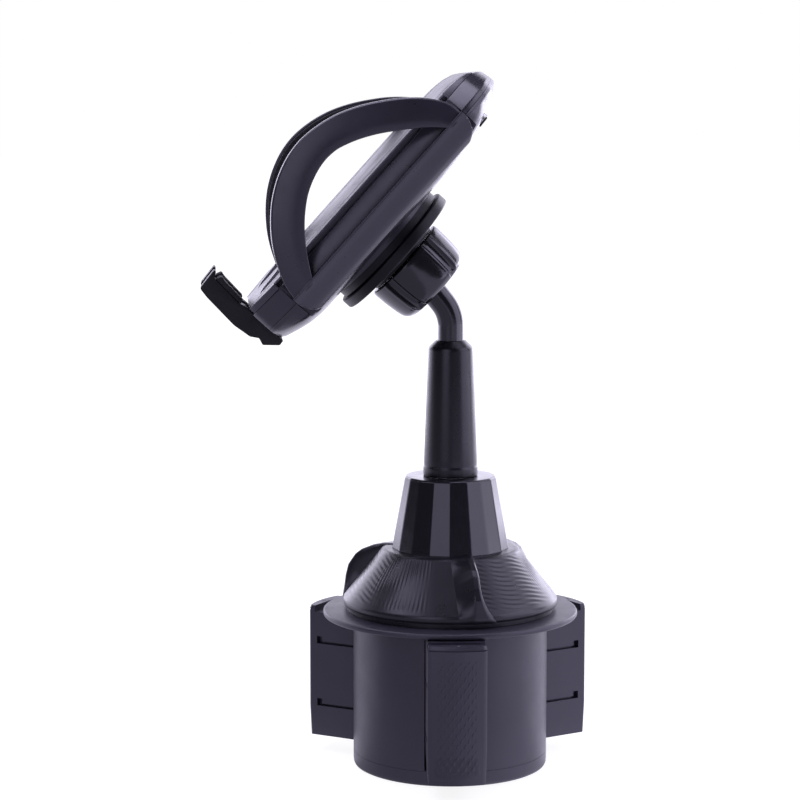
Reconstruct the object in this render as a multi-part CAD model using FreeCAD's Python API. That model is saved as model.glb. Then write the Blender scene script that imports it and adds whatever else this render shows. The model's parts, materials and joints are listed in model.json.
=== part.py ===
"""Car phone mount: an expanding cup-holder base, a bent swivel neck, a ball joint and a clamping cradle.

Units are millimetres. The origin is the centre of the base's flat underside, +Z is up, the phone
faces -Y and the cradle is symmetric about the YZ plane. One STEP file is written for each piece.
"""
import FreeCAD, Part
import math
import os

from FreeCAD import Placement, Rotation, Vector

# ---------------------------------------------------------------- driving dimensions: base
BASE_R = 33.0               # outside of the cup, and of the wings when they are pulled in
BASE_WALL = 2.0
BASE_TURN = -2.7            # the first wing's direction, degrees from +X
CAP_H = 5.0                 # height of the bottom cap
DECK_Z = 51.8               # underside of the flange
DECK_T = 1.9
FLANGE_R = 43.2
PILLAR_R = 25.5             # circle of the three screw pillars

WING_REACH = 51.4           # outside of a wing that is fully out
WING_TRAVEL = 18.4
WING_W = 19.3
WING_Z0, WING_Z1 = 5.6, 51.4
WING_WALL = 1.8
CAM_TURN = 120.0            # degrees of dial that move a wing through its travel
WING_INNER = 25.4           # inner end of a wing that is fully out
CAM_PIN_R = 1.3
CAM_PIN_OUT = 32.3          # radius of a cam pin with its wing fully out

# ---------------------------------------------------------------- driving dimensions: dial and neck
DIAL_Z0, DIAL_Z1 = 55.5, 74.1
DIAL_R0, DIAL_R1 = 36.4, 22.6
DIAL_RIM = 2.1              # height of the dial's upright rim
FIN_AT = 9.7                # the first grip fin's direction, degrees past the first wing
FIN_T = 9.4
SPIGOT_R = 12.0             # tube on the deck that the dial and the collar turn on
SPIGOT_TOP = 93.0
COLLAR_Z0, COLLAR_Z1 = 74.3, 99.4
COLLAR_R0, COLLAR_R1 = 20.0, 15.6
COLLAR_FACETS = 18
NECK_BORE_R = 8.5
NECK_SPIGOT_R = 7.0
SLEEVE_Z0, SLEEVE_Z1 = 99.5, 145.3
ARM_TUBE_R = 4.35
BEND_R = 13.0
BEND_Z = 150.0              # where the bend starts
BEND_ANGLE = 38.5
BALL_R = 8.5
RUN = 0.05                  # radial clearance of a running fit
GAP = 0.3                   # clearance of a loose slide

# ---------------------------------------------------------------- driving dimensions: cradle
TILT = 48.0                 # the cradle's long axis, degrees above horizontal
ARM_BEYOND_BEND = 12.8      # from the end of the bend to the ball's centre
NUT_R = 15.3
NUT_BACK, NUT_FRONT = -8.1, 6.9
DISC_R = 24.0
SOCKET_DROP = 0.6           # the socket sits this far below the middle of the housing
REAR_N, SEAM_N, COVER_N, FRONT_N = 15.8, 26.5, 33.8, 36.0
CRADLE_TOP, CRADLE_BOTTOM = 62.4, -46.8
HALF_W = 36.0               # half width over the closed arms
CORE_W = 31.0               # half width of the housing where the arms slide
ARM_U0, ARM_U1 = -34.0, 46.6
RACK_PITCH_R = 6.0
GEAR_MODULE = 1.0

# ---------------------------------------------------------------- details inside: base, dial and ball joint
CAM_BOTTOM, CAM_TOP = DECK_Z + DECK_T + 0.15, 57.4
CAM_SCREW_R, CAM_SCREW_AT = 31.4, 40.0
COLLAR_PHASE = math.radians(BASE_TURN - 2.8)
DISC_SCREW_R, DISC_SCREWS_AT = 17.0, (45, 135, 225, 315)
THREAD_R = 11.5
CUP_R = BALL_R + RUN
CUP_T = 0.55                # wall of the two thin cups around the ball
SEAT_R = BALL_R + 3 * RUN + 2 * CUP_T
OPEN_HALF = 62.0            # half angle of the opening behind the ball
NUT_GROOVES, NUT_PHASE = 5, 36.0

# ---------------------------------------------------------------- details inside: cradle
SLIDE_N = (20.6, 25.6)      # the racks and tongues lie between these
TONGUES = ((26.0, 37.0), (-27.0, -17.0))
TONGUE_END = 7.0
RACK_BACK = RACK_PITCH_R + 6.0
BAR_TOP = 26.9
PINION_TEETH = 12
AXLE_R = 1.9
RATCHET_N, RATCHET_R, RATCHET_TEETH = 18.3, 6.9, 20
SCREW_SEAT_N = 21.5
HOUSING_SCREWS = ((22.0, 50.0), (-22.0, 50.0), (24.0, -33.0), (-24.0, -33.0))
SPRING_POST = (28.0, 33.4)
BUTTON_U, BUTTON_W, BUTTON_TRAVEL = 48.8, 12.0, 2.5
RELEASE_SEAT_U = 57.2
FOOT_RAIL = 15.0
FOOT_N0, FOOT_N1 = 27.2, 30.2
PAD_T = 2.1                 # rubber lining of an arm

# where along the housing, its half width there, and how far its back and its front stand out
STATIONS = ((CRADLE_BOTTOM, 25.6, 20.2, 33.6), (-46.2, 26.8, 19.6, 33.8), (-44.0, 28.6, 18.8, 33.8),
            (-40.5, 31.2, 17.6, 33.8), (-36.5, 33.8, 16.5, 33.8), (-31.5, 35.6, 15.9, 33.8),
            (-27.0, HALF_W, 15.8, 33.8),
            (26.0, HALF_W, 15.8, 33.8), (36.0, HALF_W, 16.4, 33.8), (44.0, HALF_W, 17.5, 33.8),
            (48.5, 35.6, 18.3, 33.8), (52.0, 34.2, 19.3, 33.8), (55.5, 31.6, 20.8, 33.6),
            (58.8, 27.0, 21.9, 32.8), (61.0, 21.0, 23.0, 31.4), (CRADLE_TOP, 13.0, 24.0, 29.6))

# side views of an arm's loop, outside and inside
OUTER_DOME = ((ARM_U0, 29.5), (-29.6, 38.6), (-21.6, 48.9), (-10.7, 57.0), (5.0, 60.4), (19.0, 57.8),
              (31.0, 51.2), (40.0, 42.2), (ARM_U1, 31.5))
INNER_DOME = ((-25.0, 27.4), (-19.8, 34.6), (-12.0, 42.8), (-3.0, 48.4), (6.0, 50.2), (15.0, 47.9),
              (24.5, 42.3), (33.5, 34.8), (39.8, 27.9))

X, Y, Z = Vector(1, 0, 0), Vector(0, 1, 0), Vector(0, 0, 1)
O = Vector(0, 0, 0)


# ---------------------------------------------------------------- small helpers
def cyl(r, z0, z1, x=0.0, y=0.0):
    return Part.makeCylinder(r, z1 - z0, Vector(x, y, z0))


def ring(r_out, r_in, z0, z1):
    return cyl(r_out, z0, z1).cut(cyl(r_in, z0 - 1, z1 + 1))


def box(x0, x1, y0, y1, z0, z1):
    return Part.makeBox(x1 - x0, y1 - y0, z1 - z0, Vector(x0, y0, z0))


def turned(profile):
    """A solid of revolution about Z from (radius, height) corners."""
    wire = Part.makePolygon([Vector(r, 0, z) for r, z in profile + profile[:1]])
    return Part.Face(wire).revolve(O, Z, 360)


def prism(points, z0, z1):
    """A straight prism on XY corners."""
    wire = Part.makePolygon([Vector(x, y, z0) for x, y in points + points[:1]])
    return Part.Face(wire).extrude(Vector(0, 0, z1 - z0))


def fuse(shapes):
    return shapes[0].multiFuse(shapes[1:]).removeSplitter() if len(shapes) > 1 else shapes[0]


def cut(shape, tools):
    return shape.cut(Part.makeCompound(tools)) if tools else shape


def rounded(shape, radius, choose):
    """Fillet the edges that choose(edge) picks, or leave the shape if the kernel can't."""
    edges = [e for e in shape.Edges if choose(e)]
    try:
        result = shape.makeFillet(radius, edges)
        return result if result.isValid() and result.Solids else shape
    except Exception:
        print("fillet skipped:", radius, len(edges), "edges")
        return shape


def spin(shape, degrees, axis=Z, centre=O):
    copy = shape.copy()
    copy.rotate(centre, axis, degrees)
    return copy


def moved(shape, x=0.0, y=0.0, z=0.0):
    copy = shape.copy()
    copy.translate(Vector(x, y, z))
    return copy


def save(name, shape):
    solids = shape.Solids
    assert solids and all(s.isValid() for s in solids), name
    shape = solids[0] if len(solids) == 1 else Part.makeCompound(solids)
    shape.exportStep("parts/%s.step" % name)
    print("%-20s %2d solid(s)  %9.1f mm3" % (name, len(solids), shape.Volume))


# ---------------------------------------------------------------- the cradle's own frame
def ball_centre():
    a = math.radians(BEND_ANGLE)
    y = -BEND_R * (1 - math.cos(a)) - ARM_BEYOND_BEND * math.sin(a)
    z = BEND_Z + BEND_R * math.sin(a) + ARM_BEYOND_BEND * math.cos(a)
    return Vector(0, y, z)


JOINT = Placement(ball_centre(), Rotation(X, TILT))
CRADLE = JOINT.multiply(Placement(Vector(0, SOCKET_DROP, 0), Rotation()))


def in_joint(shape):
    """Ball joint pieces: Y runs up the phone, Z out of its screen, the ball's centre is the origin."""
    copy = shape.copy()
    copy.Placement = JOINT.multiply(copy.Placement)
    return copy


def in_cradle(shape):
    """Housing pieces: the same axes, with the origin on the pinion's axis."""
    copy = shape.copy()
    copy.Placement = CRADLE.multiply(copy.Placement)
    return copy


# ---------------------------------------------------------------- base
def wing_angle(i):
    return BASE_TURN + 120.0 * i


def base_shell():
    body = ring(BASE_R, BASE_R - BASE_WALL, CAP_H + 0.1, DECK_Z)
    window = box(BASE_R - 8, BASE_R + 2, -WING_W / 2 - GAP, WING_W / 2 + GAP, WING_Z0 - GAP, DECK_Z + 1)
    for i in range(3):
        pillar = cyl(3.4, CAP_H + 0.1, DECK_Z, PILLAR_R).cut(cyl(1.25, CAP_H, DECK_Z + 1, PILLAR_R))
        web = box(PILLAR_R + 3, BASE_R - 1, -0.9, 0.9, CAP_H + 0.1, DECK_Z)
        pillar = fuse([pillar, web])
        body = fuse([body, spin(pillar, wing_angle(i) + 60)])
    return cut(body, [spin(window, wing_angle(i)) for i in range(3)])


def bottom_cap():
    rim = 1.4
    outside = turned([(0, 0), (BASE_R - 1.1, 0), (BASE_R - 0.45, 0.35), (BASE_R - 0.1, 1.0),
                      (BASE_R, rim + 0.6), (BASE_R, CAP_H), (0, CAP_H)])
    hollow = cyl(BASE_R - 4.0, 2.4, CAP_H + 1)
    lip = ring(BASE_R - BASE_WALL - 0.1, BASE_R - 4.0, CAP_H, CAP_H + 3)
    window = box(20, BASE_R + 2, -WING_W / 2 - 1, WING_W / 2 + 1, CAP_H, CAP_H + 4)
    cap = fuse([outside.cut(hollow), cut(lip, [spin(window, wing_angle(i)) for i in range(3)])])
    for i in range(3):
        boss = spin(cyl(4.6, 2.0, CAP_H, PILLAR_R), wing_angle(i) + 60)
        post = spin(cyl(3.5, CAP_H, CAP_H + 4, PILLAR_R), wing_angle(i) + 60)
        web = spin(box(PILLAR_R, BASE_R, -1.0, 1.0, CAP_H, CAP_H + 4), wing_angle(i) + 60)
        hole = spin(cyl(1.7, -1, CAP_H + 1, PILLAR_R), wing_angle(i) + 60)
        sink = spin(cyl(3.0, -1, 2.6, PILLAR_R), wing_angle(i) + 60)
        cap = fuse([cap.cut(post).cut(web), boss]).cut(hole).cut(sink)
    return cap


def cap_screws():
    screw = fuse([cyl(2.8, 0.9, 2.6, PILLAR_R), cyl(1.24, 2.5, 22, PILLAR_R)])
    screw = screw.cut(box(PILLAR_R - 1.8, PILLAR_R + 1.8, -0.35, 0.35, 0.5, 1.7))
    screw = screw.cut(box(PILLAR_R - 0.35, PILLAR_R + 0.35, -1.8, 1.8, 0.5, 1.7))
    return Part.makeCompound([spin(screw, wing_angle(i) + 60) for i in range(3)])


def deck_screws():
    screw = fuse([cyl(2.4, DECK_Z + 0.6, DECK_Z + DECK_T, PILLAR_R), cyl(1.24, 36, DECK_Z + 0.7, PILLAR_R)])
    screw = screw.cut(box(PILLAR_R - 1.6, PILLAR_R + 1.6, -0.3, 0.3, DECK_Z + 1.3, DECK_Z + 3))
    return Part.makeCompound([spin(screw, wing_angle(i) + 60) for i in range(3)])


def flange_deck():
    plate = cyl(FLANGE_R, DECK_Z, DECK_Z + DECK_T)
    plate = rounded(plate, 0.7, lambda e: e.Length > 6 * FLANGE_R - 1)
    tube = cyl(SPIGOT_R, DECK_Z, SPIGOT_TOP)
    deck = fuse([plate, tube]).cut(cyl(NECK_BORE_R, DECK_Z + 6, SPIGOT_TOP + 1))
    deck = deck.cut(cyl(2.2, DECK_Z - 1, DECK_Z + 7)).cut(cyl(5.4, DECK_Z - 1, DECK_Z + 2.2))
    for z in range(int(SPIGOT_TOP) - 14, int(SPIGOT_TOP) - 1, 2):
        deck = deck.cut(ring(SPIGOT_R + 1, SPIGOT_R - 0.5, z, z + 1))
    inner, outer = CAM_PIN_OUT - WING_TRAVEL, CAM_PIN_OUT
    half = CAM_PIN_R + 0.5
    slot = fuse([box(inner, outer, -half, half, DECK_Z - 1, DECK_Z + 3),
                 cyl(half, DECK_Z - 1, DECK_Z + 3, outer), cyl(half, DECK_Z - 1, DECK_Z + 3, inner)])
    tools = [spin(slot, wing_angle(i)) for i in range(3)]
    for i in range(3):
        tools.append(spin(cyl(1.5, DECK_Z - 1, DECK_Z + 3, PILLAR_R), wing_angle(i) + 60))
        tools.append(spin(cyl(2.5, DECK_Z + 0.5, DECK_Z + 3, PILLAR_R), wing_angle(i) + 60))
    return cut(deck, tools)


def wing_outside(radius_extra=0.0):
    """The curved outer skin of a wing, drawn fully out along +X."""
    shift = WING_REACH - BASE_R
    return cyl(BASE_R + radius_extra, WING_Z0 - 1, WING_Z1 + 1, shift)


def wing_shell():
    w = WING_W / 2
    block = box(WING_INNER, WING_REACH + 1, -w, w, WING_Z0, WING_Z1).common(wing_outside())
    room = box(WING_INNER - 1, WING_REACH + 1, -w + WING_WALL, w - WING_WALL, WING_Z0 + WING_WALL,
               WING_Z1 - WING_WALL).common(wing_outside(-2.6))
    wing = block.cut(room)
    wing = rounded(wing, 0.5, lambda e: abs(e.BoundBox.ZLength) > 30 and e.BoundBox.XMin > WING_REACH - 3
                   and abs(e.BoundBox.YMin) > w - 0.1)
    tools = []
    for side, lines in ((1, (11.0, 33.0)), (-1, (13.0, 31.0))):
        for h in lines:
            z = WING_Z0 + h
            y0, y1 = sorted((side * (w - 0.5), side * (w + 1)))
            tools.append(box(BASE_R - 2, WING_REACH - 6.3, y0, y1, z - 0.35, z + 0.35))
            y0, y1 = sorted((side * (w - 1.2), side * (w + 1)))
            tools.append(box(WING_REACH - 6.8, WING_REACH - 4.4, y0, y1, z - 0.4, z + 2.1))
    tools.append(wing_pad_pocket(0.0, 0.8))
    tools.append(cyl(CAM_PIN_R, WING_Z1 - WING_WALL - 0.1, WING_Z1 + 1, CAM_PIN_OUT))
    return cut(wing, tools)


def wing_pad_pocket(margin, depth):
    """The pad's outline on the wing's face, as a slab that follows the face's curve."""
    half, z0, z1 = 8.1 - margin, WING_Z0 + 1.9 + margin, WING_Z1 - 3.2 - margin
    slab = box(WING_REACH - 6, WING_REACH + 1, -half, half, z0, z1)
    slab = rounded(slab, 2.4, lambda e: e.BoundBox.XLength > 6)
    shift = WING_REACH - BASE_R
    return slab.common(cyl(BASE_R + 0.5, 0, 60, shift)).cut(cyl(BASE_R - depth, 0, 60, shift))


def wing_pad():
    pad = wing_pad_pocket(0.05, 0.8)
    shift = WING_REACH - BASE_R
    pad = pad.common(cyl(BASE_R - 0.05, 0, 60, shift))
    notch = box(WING_REACH - 4, WING_REACH + 2, -2.1, 2.1, WING_Z1 - 3.9, WING_Z1)
    return pad.cut(notch)


def cam_pin():
    return cyl(CAM_PIN_R, WING_Z1 - WING_WALL, CAM_TOP - 0.4, CAM_PIN_OUT)


# ---------------------------------------------------------------- dial and its cam plate
def spiral_slot():
    """A slot whose centre line closes in at a constant rate as the dial turns."""
    half = CAM_PIN_R + 0.15
    steps = 48
    inner_side, outer_side = [], []
    rate = WING_TRAVEL / math.radians(CAM_TURN)
    for k in range(steps + 1):
        a = -math.radians(CAM_TURN) * k / steps
        r = CAM_PIN_OUT + rate * a
        slope = math.atan2(rate, r)
        centre = Vector(r * math.cos(a), r * math.sin(a), CAM_BOTTOM - 1)
        across = Vector(math.cos(a - slope), math.sin(a - slope), 0)
        outer_side.append(centre + across * half)
        inner_side.append(centre - across * half)
    sides = []
    for points in (outer_side, inner_side[::-1]):
        curve = Part.BSplineCurve()
        curve.interpolate(points)
        sides.append(curve.toShape())
    ends = [Part.makeLine(outer_side[-1], inner_side[-1]), Part.makeLine(inner_side[0], outer_side[0])]
    wire = Part.Wire([sides[0], ends[0], sides[1], ends[1]])
    slot = Part.Face(wire).extrude(Vector(0, 0, 6))
    a = -math.radians(CAM_TURN)
    inner_r = CAM_PIN_OUT - WING_TRAVEL
    caps = [cyl(half, CAM_BOTTOM - 1, CAM_BOTTOM + 5, CAM_PIN_OUT),
            cyl(half, CAM_BOTTOM - 1, CAM_BOTTOM + 5, inner_r * math.cos(a), inner_r * math.sin(a))]
    return slot, caps


def cam_plate():
    plate = cyl(DIAL_R0 - 1.2, CAM_BOTTOM, DIAL_Z0).fuse(cyl(DIAL_R0 - 2.4, CAM_BOTTOM, CAM_TOP))
    plate = plate.cut(cyl(SPIGOT_R + RUN, 0, 100))
    slot, caps = spiral_slot()
    for i in range(3):
        for tool in [slot] + caps:
            plate = plate.cut(spin(tool, wing_angle(i)))
    for i in range(3):
        plate = plate.cut(spin(cyl(1.1, 50, 60, CAM_SCREW_R), wing_angle(i) + CAM_SCREW_AT))
        plate = plate.cut(spin(cyl(2.2, 50, CAM_BOTTOM + 1.2, CAM_SCREW_R), wing_angle(i) + CAM_SCREW_AT))
    return plate


def cam_screws():
    r = CAM_SCREW_R
    screw = fuse([cyl(2.0, CAM_BOTTOM + 0.1, CAM_BOTTOM + 1.2, r),
                  cyl(1.05, CAM_BOTTOM + 1, CAM_TOP + 2.2, r)])
    screw = screw.cut(box(r - 1.3, r + 1.3, -0.3, 0.3, CAM_BOTTOM, CAM_BOTTOM + 0.6))
    return Part.makeCompound([spin(screw, wing_angle(i) + CAM_SCREW_AT) for i in range(3)])


def dial_cone():
    return turned([(0, DIAL_Z0), (DIAL_R0 - 0.4, DIAL_Z0), (DIAL_R0, DIAL_Z0 + 0.5),
                   (DIAL_R0, DIAL_Z0 + DIAL_RIM), (DIAL_R1, DIAL_Z1), (DIAL_R1 - 1.5, DIAL_Z1 + 0.7),
                   (0, DIAL_Z1 + 0.7)])


def dial_fin():
    """A half-round grip fin that stands on the cone, drawn along +X."""
    rim, top = DIAL_R0 + 1.1, 75.3
    corners = [Vector(14, 0, top), Vector(14, 0, DIAL_Z0 + 0.6), Vector(rim, 0, DIAL_Z0 + 0.6),
               Vector(rim, 0, 60.5)]
    over = [corners[3], Vector(36.6, 0, 66.6), Vector(33.6, 0, 70.9), Vector(29.0, 0, 73.7),
            Vector(21.5, 0, top)]
    crest = Part.BSplineCurve()
    crest.interpolate(Points=over, InitialTangent=Z, FinalTangent=-X)
    wire = Part.Wire([Part.makeLine(a, b) for a, b in zip(corners, corners[1:])]
                     + [crest.toShape(), Part.makeLine(over[-1], corners[0])])
    fin = moved(Part.Face(wire).extrude(Vector(0, FIN_T, 0)), 0, -FIN_T / 2)
    return rounded(fin, 2.6, lambda e: e.BoundBox.YLength < 1e-6 and e.BoundBox.XMax > 14.1
                   and e.BoundBox.ZMax > 60)


def dial():
    """Ribbed cone with three grip fins, hollow underneath."""
    body = dial_cone()
    for i in range(3):
        body = body.fuse(spin(dial_fin(), wing_angle(i) + FIN_AT))
    room = turned([(0, DIAL_Z0 - 1), (DIAL_R0 - 2.3, DIAL_Z0 - 1), (DIAL_R0 - 2.3, CAM_TOP + 0.1),
                   (DIAL_R0 - 5.0, CAM_TOP + 0.1), (DIAL_R1 - 3.6, DIAL_Z1 - 2.4), (0, DIAL_Z1 - 2.4)])
    body = body.cut(room).cut(cyl(SPIGOT_R + RUN, 0, 100)).cut(cyl(COLLAR_R0 + 0.2, COLLAR_Z0 - 0.1, 100))
    for i in range(3):
        boss = spin(cyl(2.6, CAM_TOP, CAM_TOP + 4, CAM_SCREW_R), wing_angle(i) + CAM_SCREW_AT)
        body = body.fuse(boss.common(dial_cone()))
        hole = cyl(1.05, CAM_TOP - 1, CAM_TOP + 2.3, CAM_SCREW_R)
        body = body.cut(spin(hole, wing_angle(i) + CAM_SCREW_AT))
    return body.removeSplitter()


def lock_collar():
    def outline(r, z):
        return [Vector(r * math.cos(2 * math.pi * k / COLLAR_FACETS + COLLAR_PHASE),
                       r * math.sin(2 * math.pi * k / COLLAR_FACETS + COLLAR_PHASE), z)
                for k in range(COLLAR_FACETS)]
    low, high = outline(COLLAR_R0, COLLAR_Z0), outline(COLLAR_R1, COLLAR_Z1 - 0.5)
    rim = outline(COLLAR_R1 - 0.5, COLLAR_Z1)
    wires = [Part.makePolygon(p + p[:1]) for p in (low, high, rim)]
    body = Part.makeLoft(wires[:2], True, True).fuse(Part.makeLoft(wires[1:], True, True))
    body = body.removeSplitter()
    body = body.cut(cyl(SPIGOT_R + RUN, COLLAR_Z0 - 1, SPIGOT_TOP + 0.4))
    return body.cut(cyl(NECK_SPIGOT_R + 0.6, COLLAR_Z0, COLLAR_Z1 + 1))


# ---------------------------------------------------------------- neck
def neck_bush():
    bush = ring(NECK_BORE_R, NECK_SPIGOT_R + RUN, DECK_Z + 9, SPIGOT_TOP)
    bush = bush.fuse(ring(SPIGOT_R - 0.6, NECK_SPIGOT_R + RUN, SPIGOT_TOP, SPIGOT_TOP + 0.35))
    slots = [spin(box(0, 20, -0.5, 0.5, SPIGOT_TOP - 22, SPIGOT_TOP + 2), a) for a in (60, 180, 300)]
    return cut(bush.removeSplitter(), slots)


def neck_sleeve():
    body = turned([(0, SLEEVE_Z0), (9.2, SLEEVE_Z0), (9.2, SLEEVE_Z0 + 3.0), (8.98, SLEEVE_Z0 + 3.3),
                   (8.98, SLEEVE_Z0 + 5.4), (7.5, SLEEVE_Z1 - 2.4), (5.0, SLEEVE_Z1), (0, SLEEVE_Z1)])
    spigot = cyl(NECK_SPIGOT_R, DECK_Z + 6.2, SLEEVE_Z0)
    return fuse([body, spigot]).cut(cyl(ARM_TUBE_R + 0.03, SLEEVE_Z0 + 8, SLEEVE_Z1 + 1)).cut(
        cyl(1.65, DECK_Z + 5, DECK_Z + 20))


def pivot_screw():
    head = turned([(0, DECK_Z + 0.1), (3.4, DECK_Z + 0.1), (3.4, DECK_Z + 1.3), (0, DECK_Z + 1.3)])
    screw = fuse([head, cyl(1.65, DECK_Z + 1, DECK_Z + 18)])
    return screw.cut(box(-2.4, 2.4, -0.4, 0.4, DECK_Z, DECK_Z + 0.7)).cut(
        box(-0.4, 0.4, -2.4, 2.4, DECK_Z, DECK_Z + 0.7))


def pivot_washer():
    return ring(4.9, 1.75, DECK_Z + 1.35, DECK_Z + 2.1)


def bent_arm():
    """Straight tube, one bend towards the phone, a short straight and the ball."""
    a = math.radians(BEND_ANGLE)
    start, bend0 = Vector(0, 0, SLEEVE_Z0 + 8), Vector(0, 0, BEND_Z)
    centre = Vector(0, -BEND_R, BEND_Z)
    mid = centre + Vector(0, BEND_R * math.cos(a / 2), BEND_R * math.sin(a / 2))
    bend1 = centre + Vector(0, BEND_R * math.cos(a), BEND_R * math.sin(a))
    end = ball_centre()
    path = Part.Wire([Part.LineSegment(start, bend0).toShape(), Part.Arc(bend0, mid, bend1).toShape(),
                      Part.LineSegment(bend1, end).toShape()])
    section = Part.Wire(Part.makeCircle(ARM_TUBE_R, start, Z))
    tube = path.makePipeShell([section], True, False)
    return tube.fuse(Part.makeSphere(BALL_R, end)).removeSplitter()


# ---------------------------------------------------------------- ball joint, in the cradle's frame
def ball_zone(r_out, r_in, front_half, back_half):
    """Part of a spherical shell about the origin, open at the front and the back."""
    shell = Part.makeSphere(r_out).cut(Part.makeSphere(r_in))
    reach = 20.0
    front = Part.makeCone(0.0, reach * math.tan(math.radians(front_half)), reach)
    back = Part.makeCone(0.0, reach * math.tan(math.radians(back_half)), reach, O, Vector(0, 0, -1))
    return shell.cut(front).cut(back)


def tilt_cup():
    return ball_zone(CUP_R + CUP_T, CUP_R, 16, OPEN_HALF)


def swing_cup():
    return ball_zone(CUP_R + 2 * CUP_T + RUN, CUP_R + CUP_T + RUN, 16, OPEN_HALF)


def socket_disc():
    body = fuse([cyl(THREAD_R, 0.0, NUT_FRONT + 2.4), cyl(THREAD_R + 2, NUT_FRONT + 0.3, NUT_FRONT + 2.4),
                 cyl(DISC_R, NUT_FRONT + 2.4, NUT_FRONT + 6.2), cyl(DISC_R - 1.6, NUT_FRONT + 6.2, REAR_N)])
    body = rounded(body, 0.6, lambda e: e.Length > 2 * math.pi * (DISC_R - 0.1)
                   and e.BoundBox.ZMax < NUT_FRONT + 3)
    body = body.cut(Part.makeSphere(SEAT_R))
    for z in (1.5, 3.5):
        body = body.cut(ring(THREAD_R + 1, THREAD_R - 0.4, z, z + 1.0))
    for a in DISC_SCREWS_AT:
        body = body.cut(spin(cyl(1.0, NUT_FRONT + 6, REAR_N + 1, DISC_SCREW_R), a))
    return body


def disc_screws():
    r = DISC_SCREW_R
    screw = fuse([cyl(2.2, REAR_N + 2.0, REAR_N + 3.4, r), cyl(1.0, NUT_FRONT + 6.2, REAR_N + 2.1, r)])
    screw = screw.cut(box(r - 1.5, r + 1.5, -0.3, 0.3, REAR_N + 2.8, REAR_N + 4))
    return Part.makeCompound([spin(screw, a) for a in DISC_SCREWS_AT])


def ball_nut():
    """Clamping nut: slightly tapered, round-shouldered behind, with finger grooves along it."""
    shoulder, taper = 3.6, 0.6
    r = NUT_R - taper
    profile = [(0, NUT_BACK), (r - shoulder, NUT_BACK)]
    for k in range(1, 7):
        a = math.radians(90.0 * k / 6)
        profile.append((r - shoulder + shoulder * math.sin(a), NUT_BACK + shoulder * (1 - math.cos(a))))
    profile += [(NUT_R, 2.0), (NUT_R, NUT_FRONT - 0.7), (NUT_R - 0.7, NUT_FRONT), (0, NUT_FRONT)]
    nut = turned(profile)
    nut = nut.cut(cyl(THREAD_R + RUN, -0.25, NUT_FRONT + 1)).cut(Part.makeSphere(SEAT_R))
    half = math.radians(OPEN_HALF)
    seat_z, seat_w = SEAT_R * math.cos(half), SEAT_R * math.sin(half)
    depth = -NUT_BACK - seat_z + 1
    opening = Part.makeCone(seat_w, seat_w + 0.55 * depth, depth, Vector(0, 0, -seat_z), Vector(0, 0, -1))
    nut = nut.cut(opening)
    groove = cyl(2.0, NUT_BACK - 1, NUT_FRONT + 1, NUT_R + 0.3)
    return cut(nut, [spin(groove, 360.0 * k / NUT_GROOVES + NUT_PHASE) for k in range(NUT_GROOVES)])


# ---------------------------------------------------------------- cradle housing
def face_outline(inset=0.0):
    """Outline of the face plate: long straight sides, a bowed top and a narrower bottom."""
    w, top, bottom = CORE_W - inset, 56.5 - inset, CRADLE_BOTTOM + 0.8 + inset
    right = [Vector(w, -30, 0), Vector(w, 44, 0), Vector(w - 8.0, top - 2.2, 0)]
    left = [Vector(-p.x, p.y, 0) for p in reversed(right)]
    low = [Vector(-24 + inset, bottom, 0), Vector(24 - inset, bottom, 0)]
    arcs = [(right[1], Vector(w - 2.2, 50.5, 0), right[2]), (right[2], Vector(0, top, 0), left[0]),
            (left[0], Vector(2.2 - w, 50.5, 0), left[1]), (left[2], Vector(1.8 - w, -38.5, 0), low[0]),
            (low[1], Vector(w - 1.8, -38.5, 0), right[0])]
    edges = [Part.Arc(*points).toShape() for points in arcs]
    edges += [Part.makeLine(*ends) for ends in (right[:2], left[1:], low)]
    return Part.Wire(Part.__sortEdges__(edges))


def housing_section(u, half, rear, front, inset):
    """The housing cut across: bevelled front edges, widest at the seam, and a bowed back."""
    w, back, face = half - inset, min(rear + inset, 24.0), front - 0.8 * inset
    rise = min(4.4, 24.6 - back)
    bevel = 1.4 if u < ARM_U0 + 2 else 5.3
    right = [(w - bevel, face), (w, min(face - 3.0, 28.2)), (w - 0.5, 25.2), (w - 2.4, back + rise),
             (w - 7.0, back + 0.55 * rise), (w * 0.22, back)]
    points = [Vector(x, u, n) for x, n in right + [(-x, n) for x, n in reversed(right)]]
    return Part.makePolygon(points + points[:1])


def envelope(inset=0.0):
    last = len(STATIONS) - 1
    wires = []
    for k, (u, half, rear, front) in enumerate(STATIONS):
        u += inset if k == 0 else -inset if k == last else 0.0
        wires.append(housing_section(u, half, rear, front, inset))
    return Part.makeLoft(wires, True, True)


def arm_bay(extra=0.0):
    """The two side recesses that the arms' bars close against."""
    bars = []
    for side in (1, -1):
        x0, x1 = sorted((side * CORE_W, side * 60))
        bars.append(box(x0, x1, ARM_U0 - 0.25 - extra, ARM_U1 + 0.25 + extra, 0, 60))
    return fuse(bars)


def slide_windows():
    tools = []
    for side in (1, -1):
        for u0, u1 in TONGUES + ((side * (RACK_PITCH_R - 1.0), side * RACK_BACK),):
            lo, hi = sorted((u0, u1))
            x0, x1 = sorted((side * (CORE_W - 6), side * (CORE_W + 9)))
            tools.append(box(x0, x1, lo - GAP, hi + GAP, SLIDE_N[0] - GAP, SLIDE_N[1] + GAP))
    return tools


def at_socket(shape):
    return moved(shape, 0, -SOCKET_DROP)


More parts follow.
